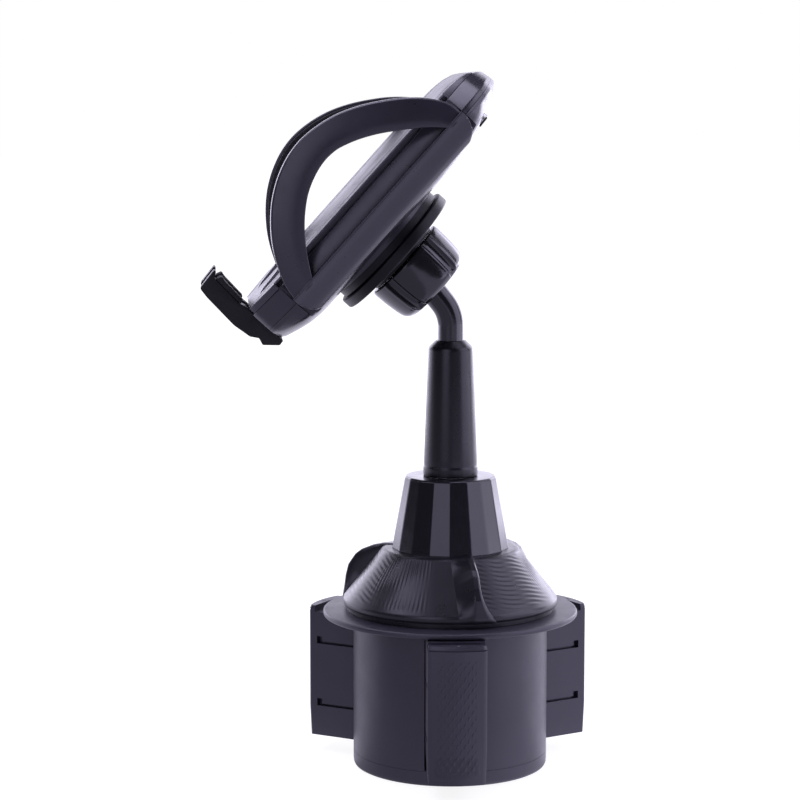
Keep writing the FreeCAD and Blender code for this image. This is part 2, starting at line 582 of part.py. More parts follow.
def rear_housing():
    solid = envelope().common(box(-60, 60, -70, 80, 0, SEAM_N))
    pedestal = cyl(DISC_R - 1.6, REAR_N, REAR_N + 2.6)
    room = envelope(2.0).common(box(-CORE_W + 1.8, CORE_W - 1.8, -70, 80, 0, SEAM_N + 1))
    body = solid.cut(arm_bay()).fuse(at_socket(pedestal)).cut(room)
    body = body.cut(box(-CORE_W + 1.8, CORE_W - 1.8, -30, 40, SLIDE_N[0] - GAP, SEAM_N + 1))
    inside = envelope(0.5)
    for x, u in HOUSING_SCREWS:
        body = body.fuse(cyl(2.8, REAR_N + 1.0, SEAM_N, x, u).common(inside))
    body = body.fuse(cyl(3.4, REAR_N + 1.5, RATCHET_N - 0.1)).fuse(cyl(AXLE_R, REAR_N + 1.5, SEAM_N - 0.2))
    tools = slide_windows() + [cyl(1.1, REAR_N + 3, SEAM_N + 1)]
    for x, u in HOUSING_SCREWS:
        tools += [cyl(1.5, 0, 60, x, u), cyl(2.6, 0, SCREW_SEAT_N, x, u)]
    for a in DISC_SCREWS_AT:
        tools += [at_socket(spin(cyl(1.2, 0, REAR_N + 2.5, DISC_SCREW_R), a)),
                  at_socket(spin(cyl(2.5, REAR_N + 2.0, REAR_N + 6, DISC_SCREW_R), a))]
    tools.append(box(-BUTTON_W / 2 - GAP, BUTTON_W / 2 + GAP, BUTTON_U - GAP,
                     BUTTON_U + 4.2 + BUTTON_TRAVEL + GAP, 0, REAR_N + 8))
    return cut(body, tools).removeSplitter()


def front_cover():
    solid = envelope().common(box(-60, 60, -70, 80, SEAM_N, 60))
    core = CORE_W + 1.6
    bay = arm_bay().cut(box(-core, core, -70, 80, BAR_TOP + GAP, 60))
    room = envelope(2.0).common(box(-CORE_W, CORE_W, -70, 80, SEAM_N - 1, 60))
    body = solid.cut(bay).cut(room)
    inside = envelope(0.5)
    for x, u in HOUSING_SCREWS:
        post = cyl(2.8, SEAM_N, COVER_N - 1, x, u).cut(cyl(1.05, SEAM_N - 1, COVER_N - 2.5, x, u))
        body = body.fuse(post.common(inside))
    for side in (1, -1):
        x0, x1 = sorted((side * (FOOT_RAIL - 1.2), side * (FOOT_RAIL + 1.2)))
        body = body.fuse(box(x0, x1, -43, -16, FOOT_N0 - 0.2, COVER_N - 1))
    body = body.fuse(box(-1.2, 1.2, SPRING_POST[0], SPRING_POST[1], SLIDE_N[0], COVER_N - 1))
    body = body.fuse(box(-2.0, 2.0, RELEASE_SEAT_U, RELEASE_SEAT_U + 1.4, 24.4, COVER_N - 1))
    slot = box(-FOOT_RAIL + 1.1, FOOT_RAIL - 1.1, -60, -40, SEAM_N - 1, FOOT_N1 + GAP)
    return body.cut(slot).removeSplitter()


def front_plate():
    """Face plate for the phone's back: two shallow grooves, two low ribs, a top that falls away."""
    side = [(COVER_N, -60), (FRONT_N, -60), (FRONT_N, 46), (FRONT_N - 0.7, 52.0), (COVER_N + 0.3, 58.5),
            (COVER_N, 60)]
    profile = Part.makePolygon([Vector(-60, u, n) for n, u in side + side[:1]])
    plate = Part.Face(face_outline()).extrude(Vector(0, 0, 60))
    plate = plate.common(Part.Face(profile).extrude(Vector(120, 0, 0)))
    for x in (-22.0, 22.0):
        plate = plate.cut(box(x - 0.5, x + 0.5, -34, 46, FRONT_N - 0.7, FRONT_N + 1))
    for x in (-14.0, 14.0):
        plate = plate.fuse(box(x - 1.5, x + 1.5, -40, -30, FRONT_N - 0.5, FRONT_N + 0.8))
    return plate.removeSplitter()


def housing_screws():
    parts = []
    for x, u in HOUSING_SCREWS:
        screw = fuse([cyl(2.3, SCREW_SEAT_N - 1.4, SCREW_SEAT_N, x, u),
                      cyl(1.0, SCREW_SEAT_N - 0.1, COVER_N - 3.0, x, u)])
        slot = box(x - 1.5, x + 1.5, u - 0.3, u + 0.3, SCREW_SEAT_N - 2, SCREW_SEAT_N - 0.8)
        parts.append(screw.cut(slot))
    return Part.makeCompound(parts)


# ---------------------------------------------------------------- clamp arms, racks and pinion
def rack(length_from, length_to):
    """A rack bar above its pitch line, with teeth that point down at the pinion and a gap at x = 0."""
    pitch = math.pi * GEAR_MODULE
    add, ded = 0.8, 1.15
    top = RACK_BACK
    teeth_at = pitch / 2
    root = RACK_PITCH_R + ded
    points = [(length_from, top), (length_from, root)]
    half = pitch / 4 - 0.06
    slope = math.tan(math.radians(20))
    first = math.ceil((length_from - teeth_at) / pitch + 0.4)
    last = math.floor((length_to - teeth_at) / pitch - 0.4)
    for k in range(first, last + 1):
        c = teeth_at + k * pitch
        points += [(c - half - ded * slope, root), (c - half + add * slope, RACK_PITCH_R - add),
                   (c + half - add * slope, RACK_PITCH_R - add), (c + half + ded * slope, root)]
    points += [(length_to, root), (length_to, top)]
    return prism(points, SLIDE_N[0], SLIDE_N[1])


def pinion():
    """Involute pinion on the cradle's centre line."""
    pitch_r = GEAR_MODULE * PINION_TEETH / 2
    base_r = pitch_r * math.cos(math.radians(20))
    tip_r, root_r = pitch_r + 0.8, pitch_r - 1.15
    involute = lambda a: math.tan(a) - a
    half_tooth = math.pi / (2 * PINION_TEETH) - 0.06 / pitch_r
    points = []
    for k in range(PINION_TEETH):
        mid = 2 * math.pi * k / PINION_TEETH
        flank = []
        for j in range(6):
            r = base_r + (tip_r - base_r) * j / 5
            a = math.acos(base_r / r)
            flank.append((r, half_tooth + involute(math.radians(20)) - involute(a)))
        start = [(root_r, flank[0][1] - 0.05)] + flank
        for r, a in start:
            points.append((r * math.cos(mid - a), r * math.sin(mid - a)))
        for r, a in reversed(start):
            points.append((r * math.cos(mid + a), r * math.sin(mid + a)))
    gear = prism(points, SLIDE_N[0], SLIDE_N[1] - 0.6)
    saw = []
    for k in range(RATCHET_TEETH):
        a0, a1 = 2 * math.pi * k / RATCHET_TEETH, 2 * math.pi * (k + 0.9) / RATCHET_TEETH
        saw += [(RATCHET_R * math.cos(a0), RATCHET_R * math.sin(a0)),
                ((RATCHET_R - 0.7) * math.cos(a1), (RATCHET_R - 0.7) * math.sin(a1))]
    return fuse([gear, prism(saw, RATCHET_N, SLIDE_N[0])]).cut(cyl(AXLE_R + RUN, 0, 60))


def pinion_screw():
    screw = fuse([cyl(2.8, SEAM_N - 0.1, SEAM_N + 0.9), cyl(1.05, REAR_N + 3.5, SEAM_N)])
    return screw.cut(box(-2, 2, -0.3, 0.3, SEAM_N + 0.5, SEAM_N + 2))


def d_outline(points, n_low):
    """A smooth dome through the given points, closed by a straight line at n_low."""
    curve = Part.BSplineCurve()
    pts = [Vector(0, u, n) for u, n in points]
    curve.interpolate(pts)
    a, b = pts[0], pts[-1]
    la, lb = Vector(0, a.y, n_low), Vector(0, b.y, n_low)
    edges = [curve.toShape()]
    if (b - lb).Length > 1e-6:
        edges.append(Part.makeLine(b, lb))
    edges.append(Part.makeLine(lb, la))
    if (a - la).Length > 1e-6:
        edges.append(Part.makeLine(la, a))
    return Part.Wire(edges)


def arm(rack_side):
    """The right-hand arm: D loop, side bar, guide tongues and a rack above or below the pinion."""
    x0, x1 = CORE_W + 2.2, HALF_W + 1.4
    dome = Part.Face(d_outline(OUTER_DOME, 26.8)).extrude(Vector(x1 - x0, 0, 0))
    hole = Part.Face(d_outline(INNER_DOME, 27.2)).extrude(Vector(20, 0, 0))
    loop = moved(dome, x0).cut(moved(hole, x0 - 5))
    bar_pts = [Vector(CORE_W + 0.25, 0, 19.4), Vector(HALF_W - 3.4, 0, 19.2), Vector(HALF_W - 0.6, 0, 21.6),
               Vector(HALF_W, 0, 24.6), Vector(x1, 0, 27.6), Vector(x0, 0, 27.6), Vector(x0, 0, BAR_TOP),
               Vector(CORE_W + 0.25, 0, BAR_TOP)]
    bar = Part.Face(Part.makePolygon(bar_pts + bar_pts[:1])).extrude(Vector(0, ARM_U1 - ARM_U0, 0))
    bar = moved(bar, 0, ARM_U0)
    ends = side_trim().extrude(Vector(20, 0, 0))
    bar = bar.common(moved(ends, CORE_W - 4))
    shape = loop.fuse(bar)
    for u0, u1 in TONGUES:
        shape = shape.fuse(box(TONGUE_END, CORE_W + 1.5, u0, u1, *SLIDE_N))
    bar = rack(-19.5, CORE_W + 1.5)
    shape = shape.fuse(bar if rack_side > 0 else bar.mirror(O, Y))
    return shape.removeSplitter()


def side_trim():
    """Side view of the bar, with its rounded ends."""
    u0, u1 = ARM_U0, ARM_U1
    p = [Vector(0, u0, 40), Vector(0, u0, 26.0), Vector(0, u0 + 4.6, 19.0), Vector(0, u1 - 5.6, 19.0),
         Vector(0, u1, 26.0), Vector(0, u1, 40)]
    low = Part.Arc(p[1], Vector(0, u0 + 1.4, 21.8), p[2]).toShape()
    high = Part.Arc(p[3], Vector(0, u1 - 1.8, 21.8), p[4]).toShape()
    wire = Part.Wire([Part.makeLine(p[0], p[1]), low, Part.makeLine(p[2], p[3]), high,
                      Part.makeLine(p[4], p[5]), Part.makeLine(p[5], p[0])])
    return Part.Face(wire)


def arm_pad():
    """Rubber lining on the inner face of the loop, above the face plate."""
    x1 = CORE_W + 2.2
    shrink = lambda pts, c, d: [(c[0] + (u - c[0]) * d, c[1] + (n - c[1]) * d) for u, n in pts]
    outer = shrink(OUTER_DOME, (5.0, 30.0), 0.975)
    inner = shrink(INNER_DOME, (6.0, 30.0), 1.03)
    dome = Part.Face(d_outline(outer, 26.8)).extrude(Vector(PAD_T, 0, 0))
    hole = Part.Face(d_outline(inner, 26.0)).extrude(Vector(20, 0, 0))
    pad = moved(dome, x1 - PAD_T).cut(moved(hole, x1 - 8))
    return pad.common(box(0, 60, -60, 60, FRONT_N + 1.4, 80))


def mirrored(shape):
    return shape.mirror(O, X)


def spring(length, coil_r, wire_r, turns):
    """A coil spring along +Z from the origin."""
    height = length - 2 * wire_r
    helix = Part.makeHelix(height / turns, height, coil_r)
    section = Part.Wire(Part.makeCircle(wire_r, Vector(coil_r, 0, 0), Y))
    return moved(Part.Wire(helix.Edges).makePipeShell([section], True, True), 0, 0, wire_r)


def clamp_spring():
    """Pushes the right-hand arm's upper tongue away from the post on the centre line."""
    u = (TONGUES[0][0] + TONGUES[0][1]) / 2
    return moved(spin(spring(TONGUE_END - 1.3 - 0.1, 2.2, 0.35, 5), 90, Y), 1.3, u, sum(SLIDE_N) / 2)


def release_spring():
    coil = spin(spring(RELEASE_SEAT_U - BUTTON_U - 4.3, 1.1, 0.25, 5), -90, X)
    return moved(coil, 0, BUTTON_U + 4.25, 25.8)


# ---------------------------------------------------------------- release slider and foot
def side_prism(points, x0, x1):
    """A prism across the cradle on a side view of (u, n) corners."""
    wire = Part.makePolygon([Vector(x0, u, n) for u, n in points + points[:1]])
    return Part.Face(wire).extrude(Vector(x1 - x0, 0, 0))


def release_slider():
    """Button that shows behind the housing, a bar down its middle, and the pawl at the bar's end."""
    n0, n1 = RATCHET_N + 0.1, RATCHET_N + 1.9
    b0, b1 = BUTTON_U, BUTTON_U + 4.2
    bar = side_prism([(12.5, n0), (33.5, n0), (45.0, 20.9), (b0 + 1, 21.6), (b0 + 1, 24.0),
                      (44.0, 23.2), (34.0, n1), (12.5, n1)], -3.0, 3.0)
    button = side_prism([(b0, 17.7), (b1 - 0.6, 17.9), (b1, 19.0), (b1, 27.2), (b0, 27.2)],
                        -BUTTON_W / 2, BUTTON_W / 2)
    tip = RATCHET_R + 0.4
    pawl = prism([(-0.8, tip), (0.8, tip), (3.0, 12.6), (-3.0, 12.6)], n0, n1)
    return fuse([bar, button, pawl])


def foot():
    """Flat tongue in the housing, a cross bar, and two prongs that carry the phone's lower edge."""
    w = FOOT_RAIL - 1.5
    tongue = box(-w, w, -47.4, -22.0, FOOT_N0, FOOT_N1)
    cross = side_prism([(-47.1, 19.9), (-49.0, 19.7), (-52.7, 24.0), (-51.8, 26.4), (-53.4, 29.0),
                        (-53.7, 32.2), (-47.1, 33.2)], -w, w)
    parts = [tongue, cross]
    for side in (1, -1):
        x0, x1 = sorted((side * 5.6, side * w))
        parts.append(side_prism([(-47.1, 30.0), (-46.9, 37.2), (-47.6, 38.4), (-46.8, 50.4), (-44.9, 51.2),
                                 (-44.7, 52.3), (-52.4, 51.8), (-53.1, 48.1), (-54.1, 35.4), (-53.4, 29.0)],
                                x0, x1))
    return fuse(parts)


def foot_pads():
    w = FOOT_RAIL - 1.5
    pads = []
    for side in (1, -1):
        x0, x1 = sorted((side * 6.4, side * (w - 0.8)))
        pads.append(side_prism([(-47.5, 38.6), (-46.75, 49.9), (-44.7, 49.0), (-45.2, 47.2), (-46.0, 38.2)],
                               x0, x1))
    return Part.makeCompound(pads)


# ---------------------------------------------------------------- write every piece
def main():
    os.makedirs("parts", exist_ok=True)
    base = {"base_shell": base_shell, "bottom_cap": bottom_cap, "cap_screws": cap_screws,
            "flange_deck": flange_deck, "deck_screws": deck_screws, "cam_plate": cam_plate,
            "cam_screws": cam_screws, "dial": dial, "lock_collar": lock_collar, "neck_bush": neck_bush,
            "neck_sleeve": neck_sleeve, "pivot_screw": pivot_screw, "pivot_washer": pivot_washer,
            "bent_arm": bent_arm}
    for name, make in base.items():
        save(name, make())
    for i in range(3):
        for name, make in (("wing_shell", wing_shell), ("wing_pad", wing_pad), ("cam_pin", cam_pin)):
            save("%s_%d" % (name, i + 1), spin(make(), wing_angle(i)))
    joint = {"tilt_cup": tilt_cup, "swing_cup": swing_cup, "ball_nut": ball_nut, "socket_disc": socket_disc,
             "disc_screws": disc_screws}
    for name, make in joint.items():
        save(name, in_joint(make()))
    cradle = {"rear_housing": rear_housing, "front_cover": front_cover, "front_plate": front_plate,
              "housing_screws": housing_screws, "rack_pinion": pinion, "pinion_screw": pinion_screw,
              "release_slider": release_slider, "release_spring": release_spring, "foot": foot,
              "foot_pads": foot_pads}
    for name, make in cradle.items():
        save(name, in_cradle(make()))
    save("arm_right", in_cradle(arm(1)))
    save("arm_left", in_cradle(mirrored(arm(-1))))
    for name, make in (("arm_pad", arm_pad), ("clamp_spring", clamp_spring)):
        save(name + "_right", in_cradle(make()))
        save(name + "_left", in_cradle(mirrored(make())))


main()
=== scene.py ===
"""Car phone mount: moulded plastic looks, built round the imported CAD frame.

Shapes are drawn in millimetres, and each mesh is turned into metres as it is placed.
"""
import bpy
import bmesh
import json
import math
import numpy as np
from mathutils import Matrix, Vector


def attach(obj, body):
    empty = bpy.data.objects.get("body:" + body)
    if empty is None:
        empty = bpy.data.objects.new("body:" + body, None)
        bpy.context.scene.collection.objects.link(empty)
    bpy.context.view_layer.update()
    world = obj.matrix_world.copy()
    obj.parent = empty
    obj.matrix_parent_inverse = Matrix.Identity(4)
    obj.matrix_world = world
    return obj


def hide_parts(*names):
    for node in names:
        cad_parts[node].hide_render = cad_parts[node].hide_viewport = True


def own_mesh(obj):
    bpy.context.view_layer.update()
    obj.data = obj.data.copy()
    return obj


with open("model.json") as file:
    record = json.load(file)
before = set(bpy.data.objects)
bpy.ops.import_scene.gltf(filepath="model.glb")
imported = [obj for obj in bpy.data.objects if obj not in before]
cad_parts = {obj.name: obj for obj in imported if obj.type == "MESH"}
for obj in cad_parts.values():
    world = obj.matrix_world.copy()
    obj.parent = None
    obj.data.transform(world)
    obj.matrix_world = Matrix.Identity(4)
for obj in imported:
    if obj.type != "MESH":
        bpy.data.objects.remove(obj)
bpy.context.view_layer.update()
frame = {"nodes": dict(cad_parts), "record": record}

# ---------------------------------------------------------------- frames
MM = 0.001
TILT = math.radians(48)
BEND = math.radians(38.5)
BEND_R, BEND_Z = 13.0, 150.0            # radius of the arm's bend, and the height where it starts
PAST_BEND = 12.8                        # from the end of the bend to the ball's centre
SOCKET_DROP = 0.6                       # the socket sits this far below the middle of the housing
UP = np.array([0, math.cos(TILT), math.sin(TILT)])       # along the phone
OUT = np.array([0, -math.sin(TILT), math.cos(TILT)])     # out of its screen
BALL = np.array([0, -(BEND_R * (1 - math.cos(BEND)) + PAST_BEND * math.sin(BEND)),
                 BEND_Z + BEND_R * math.sin(BEND) + PAST_BEND * math.cos(BEND)])
WING_ANGLE = [math.radians(-2.7 + 120 * i) for i in range(3)]


def to_base(p):
    """Points of the base, in metres."""
    return p * MM


def to_joint(p):
    """Points round the ball: x across the phone, y along it, z out of its screen."""
    return (BALL + p[:, :1] * [1, 0, 0] + p[:, 1:2] * UP + p[:, 2:] * OUT) * MM


def to_cradle(p):
    """Points of the housing, measured like those round the ball but from the housing's middle."""
    return to_joint(p + [0, SOCKET_DROP, 0])


def to_wing(i):
    """Points of a wing: x outwards along its slide, y across it, z up."""
    c, s = math.cos(WING_ANGLE[i]), math.sin(WING_ANGLE[i])
    return lambda p: np.stack([p[:, 0] * c - p[:, 1] * s, p[:, 0] * s + p[:, 1] * c, p[:, 2]], 1) * MM


# ---------------------------------------------------------------- outlines
def soften(points, radius, steps=4, closed=True):
    """Rounds a polyline's corners. radius is one number, or one for each point."""
    pts = np.asarray(points, float)
    radii = np.full(len(pts), radius, float) if np.isscalar(radius) else np.asarray(radius, float)
    out = []
    for k, p in enumerate(pts):
        if not closed and k in (0, len(pts) - 1):
            out.append(p)
            continue
        a, b = pts[k - 1], pts[(k + 1) % len(pts)]
        la, lb = np.linalg.norm(a - p), np.linalg.norm(b - p)
        s = p + (a - p) / max(la, 1e-9) * min(radii[k], 0.45 * la)
        e = p + (b - p) / max(lb, 1e-9) * min(radii[k], 0.45 * lb)
        for t in np.linspace(0, 1, steps + 1):
            out.append((1 - t) ** 2 * s + 2 * t * (1 - t) * p + t * t * e)
    return np.array(out)


def curve_through(points, count):
    """A smooth cubic through the points, sampled evenly along its length."""
    p = np.asarray(points, float)
    t = np.r_[0, np.cumsum(np.linalg.norm(np.diff(p, axis=0), axis=1))]
    m = np.gradient(p, t, axis=0)
    fine = np.linspace(0, t[-1], 400)
    k = np.clip(np.searchsorted(t, fine, "right") - 1, 0, len(t) - 2)
    h = (t[k + 1] - t[k])[:, None]
    s = ((fine - t[k])[:, None]) / h
    q = ((2 * s ** 3 - 3 * s ** 2 + 1) * p[k] + (s ** 3 - 2 * s ** 2 + s) * h * m[k]
         + (-2 * s ** 3 + 3 * s ** 2) * p[k + 1] + (s ** 3 - s ** 2) * h * m[k + 1])
    d = np.r_[0, np.cumsum(np.linalg.norm(np.diff(q, axis=0), axis=1))]
    want = np.linspace(0, d[-1], count)
    return np.stack([np.interp(want, d, q[:, i]) for i in range(q.shape[1])], 1)


# ---------------------------------------------------------------- meshes: a mesh is (points, faces)
def loft(rows, wrap=False):
    """Skin over closed cross sections. wrap joins the last to the first; otherwise both are capped."""
    rows = np.asarray(rows, float)
    r, c, _ = rows.shape
    faces = []
    for i in range(r if wrap else r - 1):
        k = (i + 1) % r
        for j in range(c):
            m = (j + 1) % c
            faces.append((i * c + j, i * c + m, k * c + m, k * c + j))
    if not wrap:
        faces.append(tuple(range(c))[::-1])
        faces.append(tuple((r - 1) * c + j for j in range(c)))
    return rows.reshape(-1, 3), faces


def turned(profile, count, warp=None):
    """A closed (radius, height) outline turned about Z. warp(r, z, a) gives a new radius."""
    a = np.linspace(0, 2 * math.pi, count, endpoint=False)
    rows = []
    for t in a:
        r = np.array([p[0] for p in profile])
        z = np.array([p[1] for p in profile])
        if warp:
            r = warp(r, z, t)
        rows.append(np.stack([r * math.cos(t), r * math.sin(t), z], 1))
    return loft(rows, wrap=True)


def prism(outline, x0, x1):
    """A slab across the phone from a side outline of (u, n)."""
    o = np.asarray(outline, float)
    return loft([np.c_[np.full(len(o), x), o] for x in (x0, x1)])


def block(x0, x1, y0, y1, z0, z1):
    return prism([(y0, z0), (y1, z0), (y1, z1), (y0, z1)], x0, x1)


def tidy(mesh, bevel=0.0):
    """Merges doubles, turns faces outwards and rounds the edges sharper than 32 degrees."""
    bm = bmesh.new()
    points, faces = mesh
    vs = [bm.verts.new(p) for p in points]
    for f in faces:
        try:
            bm.faces.new([vs[i] for i in f])
        except ValueError:
            pass
    bmesh.ops.remove_doubles(bm, verts=bm.verts, dist=1e-4)
    bmesh.ops.dissolve_degenerate(bm, edges=bm.edges, dist=1e-5)
    loose = [v for v in bm.verts if not v.link_faces]
    bmesh.ops.delete(bm, geom=loose, context="VERTS")
    bmesh.ops.recalc_face_normals(bm, faces=bm.faces)
    if bevel:
        sharp = [e for e in bm.edges if len(e.link_faces) == 2 and e.calc_face_angle(0) > math.radians(32)]
        bmesh.ops.bevel(bm, geom=sharp, offset=bevel, segments=3, profile=0.5, affect="EDGES",
                        clamp_overlap=True)
    points = np.array([v.co[:] for v in bm.verts])
    bm.verts.index_update()
    faces = [tuple(v.index for v in f.verts) for f in bm.faces]
    bm.free()
    return points, faces


def joined(*meshes):
    """Several meshes as one, without a boolean."""
    points, faces, n = [], [], 0
    for p, f in meshes:
        points.append(p)
        faces += [tuple(i + n for i in face) for face in f]
        n += len(p)
    return np.concatenate(points), faces


def moved(mesh, x, y):
    return mesh[0] + [x, y, 0], mesh[1]


def mirrored(mesh):
    """The same shape for the other side of the phone."""
    return mesh[0] * [-1, 1, 1], [f[::-1] for f in mesh[1]]


def data_of(mesh, name="shape"):
    """A Blender mesh of points and faces."""
    me = bpy.data.meshes.new(name)
    me.from_pydata([tuple(p) for p in mesh[0]], [], mesh[1])
    me.update()
    return me


def combine(mesh, others, operation):
    """Exact union or difference of closed meshes."""
    obj = bpy.data.objects.new("work", data_of(mesh))
    bpy.context.scene.collection.objects.link(obj)
    tools = []
    for k, other in enumerate(others):
        tool = bpy.data.objects.new("tool", data_of(other))
        bpy.context.scene.collection.objects.link(tool)
        mod = obj.modifiers.new("b%d" % k, "BOOLEAN")
        mod.operation, mod.solver, mod.object = operation, "EXACT", tool
        tools.append(tool)
    bpy.context.view_layer.update()
    got = bpy.data.meshes.new_from_object(obj.evaluated_get(bpy.context.evaluated_depsgraph_get()))
    result = (np.array([v.co[:] for v in got.vertices]), [tuple(f.vertices) for f in got.polygons])
    for o in [obj] + tools:
        bpy.data.objects.remove(o)
    return result if len(result[1]) else mesh


def piece(name, mesh, where, body, material, stands_for, sharp=34):
    """Places a mesh in the frame as one shaded object that rides on a body."""
    points, faces = mesh
    me = data_of((where(points), faces), name)
    bm = bmesh.new()
    bm.from_mesh(me)
    bmesh.ops.recalc_face_normals(bm, faces=bm.faces)
    bm.to_mesh(me)
    bm.free()
    me.polygons.foreach_set("use_smooth", [True] * len(me.polygons))
    me.set_sharp_from_angle(angle=math.radians(sharp))
    me.materials.append(material)
    obj = bpy.data.objects.new(name, me)
    bpy.context.scene.collection.objects.link(obj)
    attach(obj, body)
    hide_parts(*stands_for)
    return obj


# ---------------------------------------------------------------- materials
def node(tree, kind, **inputs):
    """A shader node with some of its inputs set."""
    n = tree.nodes.new(kind)
    for key, value in inputs.items():
        n.inputs[key.replace("_", " ")].default_value = value
    return n


def ramp(tree, source, low, high):
    """Turns a noise value into a colour between low and high."""
    r = tree.nodes.new("ShaderNodeValToRGB")
    for stop, at, colour in zip(r.color_ramp.elements, (0.3, 0.7), (low, high)):
        stop.position, stop.color = at, (*colour, 1)
    tree.links.new(source, r.inputs["Fac"])
    return r.outputs["Color"]


def plastic(name, dark, light, rough, grain, grain_size, specular=0.5, metallic=0.0):
    """Moulded plastic: slow shade drift, uneven gloss, a fine skin and faint handling marks."""
    mat = bpy.data.materials.new(name)
    mat.use_nodes = True
    t = mat.node_tree
    shader = t.nodes["Principled BSDF"]
    shader.inputs["Metallic"].default_value = metallic
    shader.inputs["Specular IOR Level"].default_value = specular
    shader.inputs["Specular Tint"].default_value = (0.88, 0.86, 1.0, 1) if metallic == 0 else (1, 1, 1, 1)
    where = t.nodes.new("ShaderNodeTexCoord").outputs["Object"]
    drift = node(t, "ShaderNodeTexNoise", Scale=38.0, Detail=3.0)
    smudge = node(t, "ShaderNodeTexNoise", Scale=140.0, Detail=5.0, Roughness=0.65)
    skin = node(t, "ShaderNodeTexNoise", Scale=1000.0 / grain_size, Detail=2.0)
    for n in (drift, smudge, skin):
        t.links.new(where, n.inputs["Vector"])
    t.links.new(ramp(t, drift.outputs["Fac"], dark, light), shader.inputs["Base Color"])
    lo, hi = rough
    t.links.new(ramp(t, smudge.outputs["Fac"], (lo,) * 3, (hi,) * 3), shader.inputs["Roughness"])
    bump = node(t, "ShaderNodeBump", Strength=grain, Distance=0.0002)
    t.links.new(skin.outputs["Fac"], bump.inputs["Height"])
    t.links.new(bump.outputs["Normal"], shader.inputs["Normal"])
    return mat


BASE = plastic("base_plastic", (0.0180, 0.0160, 0.0260), (0.0240, 0.0215, 0.0340), (0.40, 0.48),
               grain=0.10, grain_size=0.4)
DIAL = plastic("dial_plastic", (0.0070, 0.0064, 0.0095), (0.0100, 0.0091, 0.0132), (0.26, 0.34),
               grain=0.08, grain_size=0.4, specular=0.4)
COLLAR = plastic("collar_plastic", (0.0070, 0.0062, 0.0090), (0.0095, 0.0086, 0.0125), (0.15, 0.21),
                 grain=0.04, grain_size=0.5)
NECK = plastic("neck_plastic", (0.0042, 0.0038, 0.0056), (0.0060, 0.0055, 0.0078), (0.25, 0.32),
               grain=0.08, grain_size=0.4, specular=0.35)
CRADLE = plastic("cradle_plastic", (0.0120, 0.0108, 0.0175), (0.0165, 0.0150, 0.0235), (0.26, 0.34),
                 grain=0.07, grain_size=0.4)
JOINT = plastic("joint_plastic", (0.0050, 0.0046, 0.0065), (0.0070, 0.0065, 0.0090), (0.14, 0.20),
                grain=0.05, grain_size=0.4)
DISC = plastic("disc_plastic", (0.0028, 0.0026, 0.0034), (0.0042, 0.0039, 0.0050), (0.34, 0.44),
               grain=0.10, grain_size=0.4, specular=0.2)
FOOT = plastic("foot_plastic", (0.0050, 0.0048, 0.0056), (0.0072, 0.0069, 0.0080), (0.42, 0.52),
               grain=0.12, grain_size=0.4, specular=0.25)
FACE = plastic("face_plastic", (0.0220, 0.0200, 0.0290), (0.0290, 0.0265, 0.0375), (0.34, 0.42),
               grain=0.12, grain_size=0.35)
RUBBER = plastic("pad_rubber", (0.0045, 0.0045, 0.0052), (0.0070, 0.0070, 0.0080), (0.62, 0.75),
                 grain=0.30, grain_size=0.35, specular=0.3)
WING_RUBBER = plastic("wing_rubber", (0.0150, 0.0135, 0.0215), (0.0205, 0.0185, 0.0285), (0.46, 0.56),
                      grain=0.20, grain_size=0.3)
NYLON = plastic("nylon", (0.50, 0.49, 0.45), (0.60, 0.58, 0.54), (0.42, 0.52), grain=0.10, grain_size=0.4)
STEEL = plastic("steel", (0.440, 0.440, 0.448), (0.55, 0.55, 0.56), (0.28, 0.42), grain=0.2, grain_size=0.3,
                metallic=1.0)
BY_SLOT = {"base_plastic": BASE, "dial_plastic": DIAL, "collar_plastic": COLLAR, "neck_plastic": NECK,
           "cradle_plastic": CRADLE, "face_plastic": FACE, "pad_rubber": RUBBER, "wing_rubber": WING_RUBBER,
           "nylon": NYLON, "steel": STEEL}
for part in frame["record"]["subparts"]:
    obj = frame["nodes"][part["node"]]
    obj.data.materials.clear()
    obj.data.materials.append(BY_SLOT[part["material_slot"]])

# ---------------------------------------------------------------- base
CUP_R, DECK_Z = 33.0, 51.8


def flange():
    """Round deck with the tube that the dial and the collar turn on."""
    rim, hole, spigot, deck, top = 43.2, 8.5, 12.0, DECK_Z + 1.9, 93.0
    outline = [(hole, DECK_Z), (rim, DECK_Z), (rim, deck), (spigot, deck), (spigot, top), (hole, top)]
    return turned(soften(outline, (0.05, 0.7, 0.9, 0.4, 0.4, 0.4)), 220)


piece("flange", flange(), to_base, "base", BASE, ["flange_deck"])

WING_W, WING_OUT, WING_Z0, WING_Z1 = 9.65, 51.4, 5.6, 51.4     # half its width, reach, bottom and top
GROOVES = {1: (11.0, 33.0), -1: (13.0, 31.0)}                   # heights over the wing's bottom, by side
GROOVE_HALF, GROOVE_DEEP, GROOVE_END = 0.42, 1.5, 45.0
POCKET_TOP, POCKET_DEEP, POCKET_END = 2.12, 2.0, 46.92
PAD_HALF, PAD_Z0, PAD_Z1 = 7.7, WING_Z0 + 2.3, WING_Z1 - 3.6
PAD_GAP = 0.45                                                  # shadow gap round a pad


def face_x(y, inset=0.0):
    """The wing's curved front, x at a given y."""
    return WING_OUT - CUP_R + np.sqrt((CUP_R - inset) ** 2 - np.asarray(y, float) ** 2)


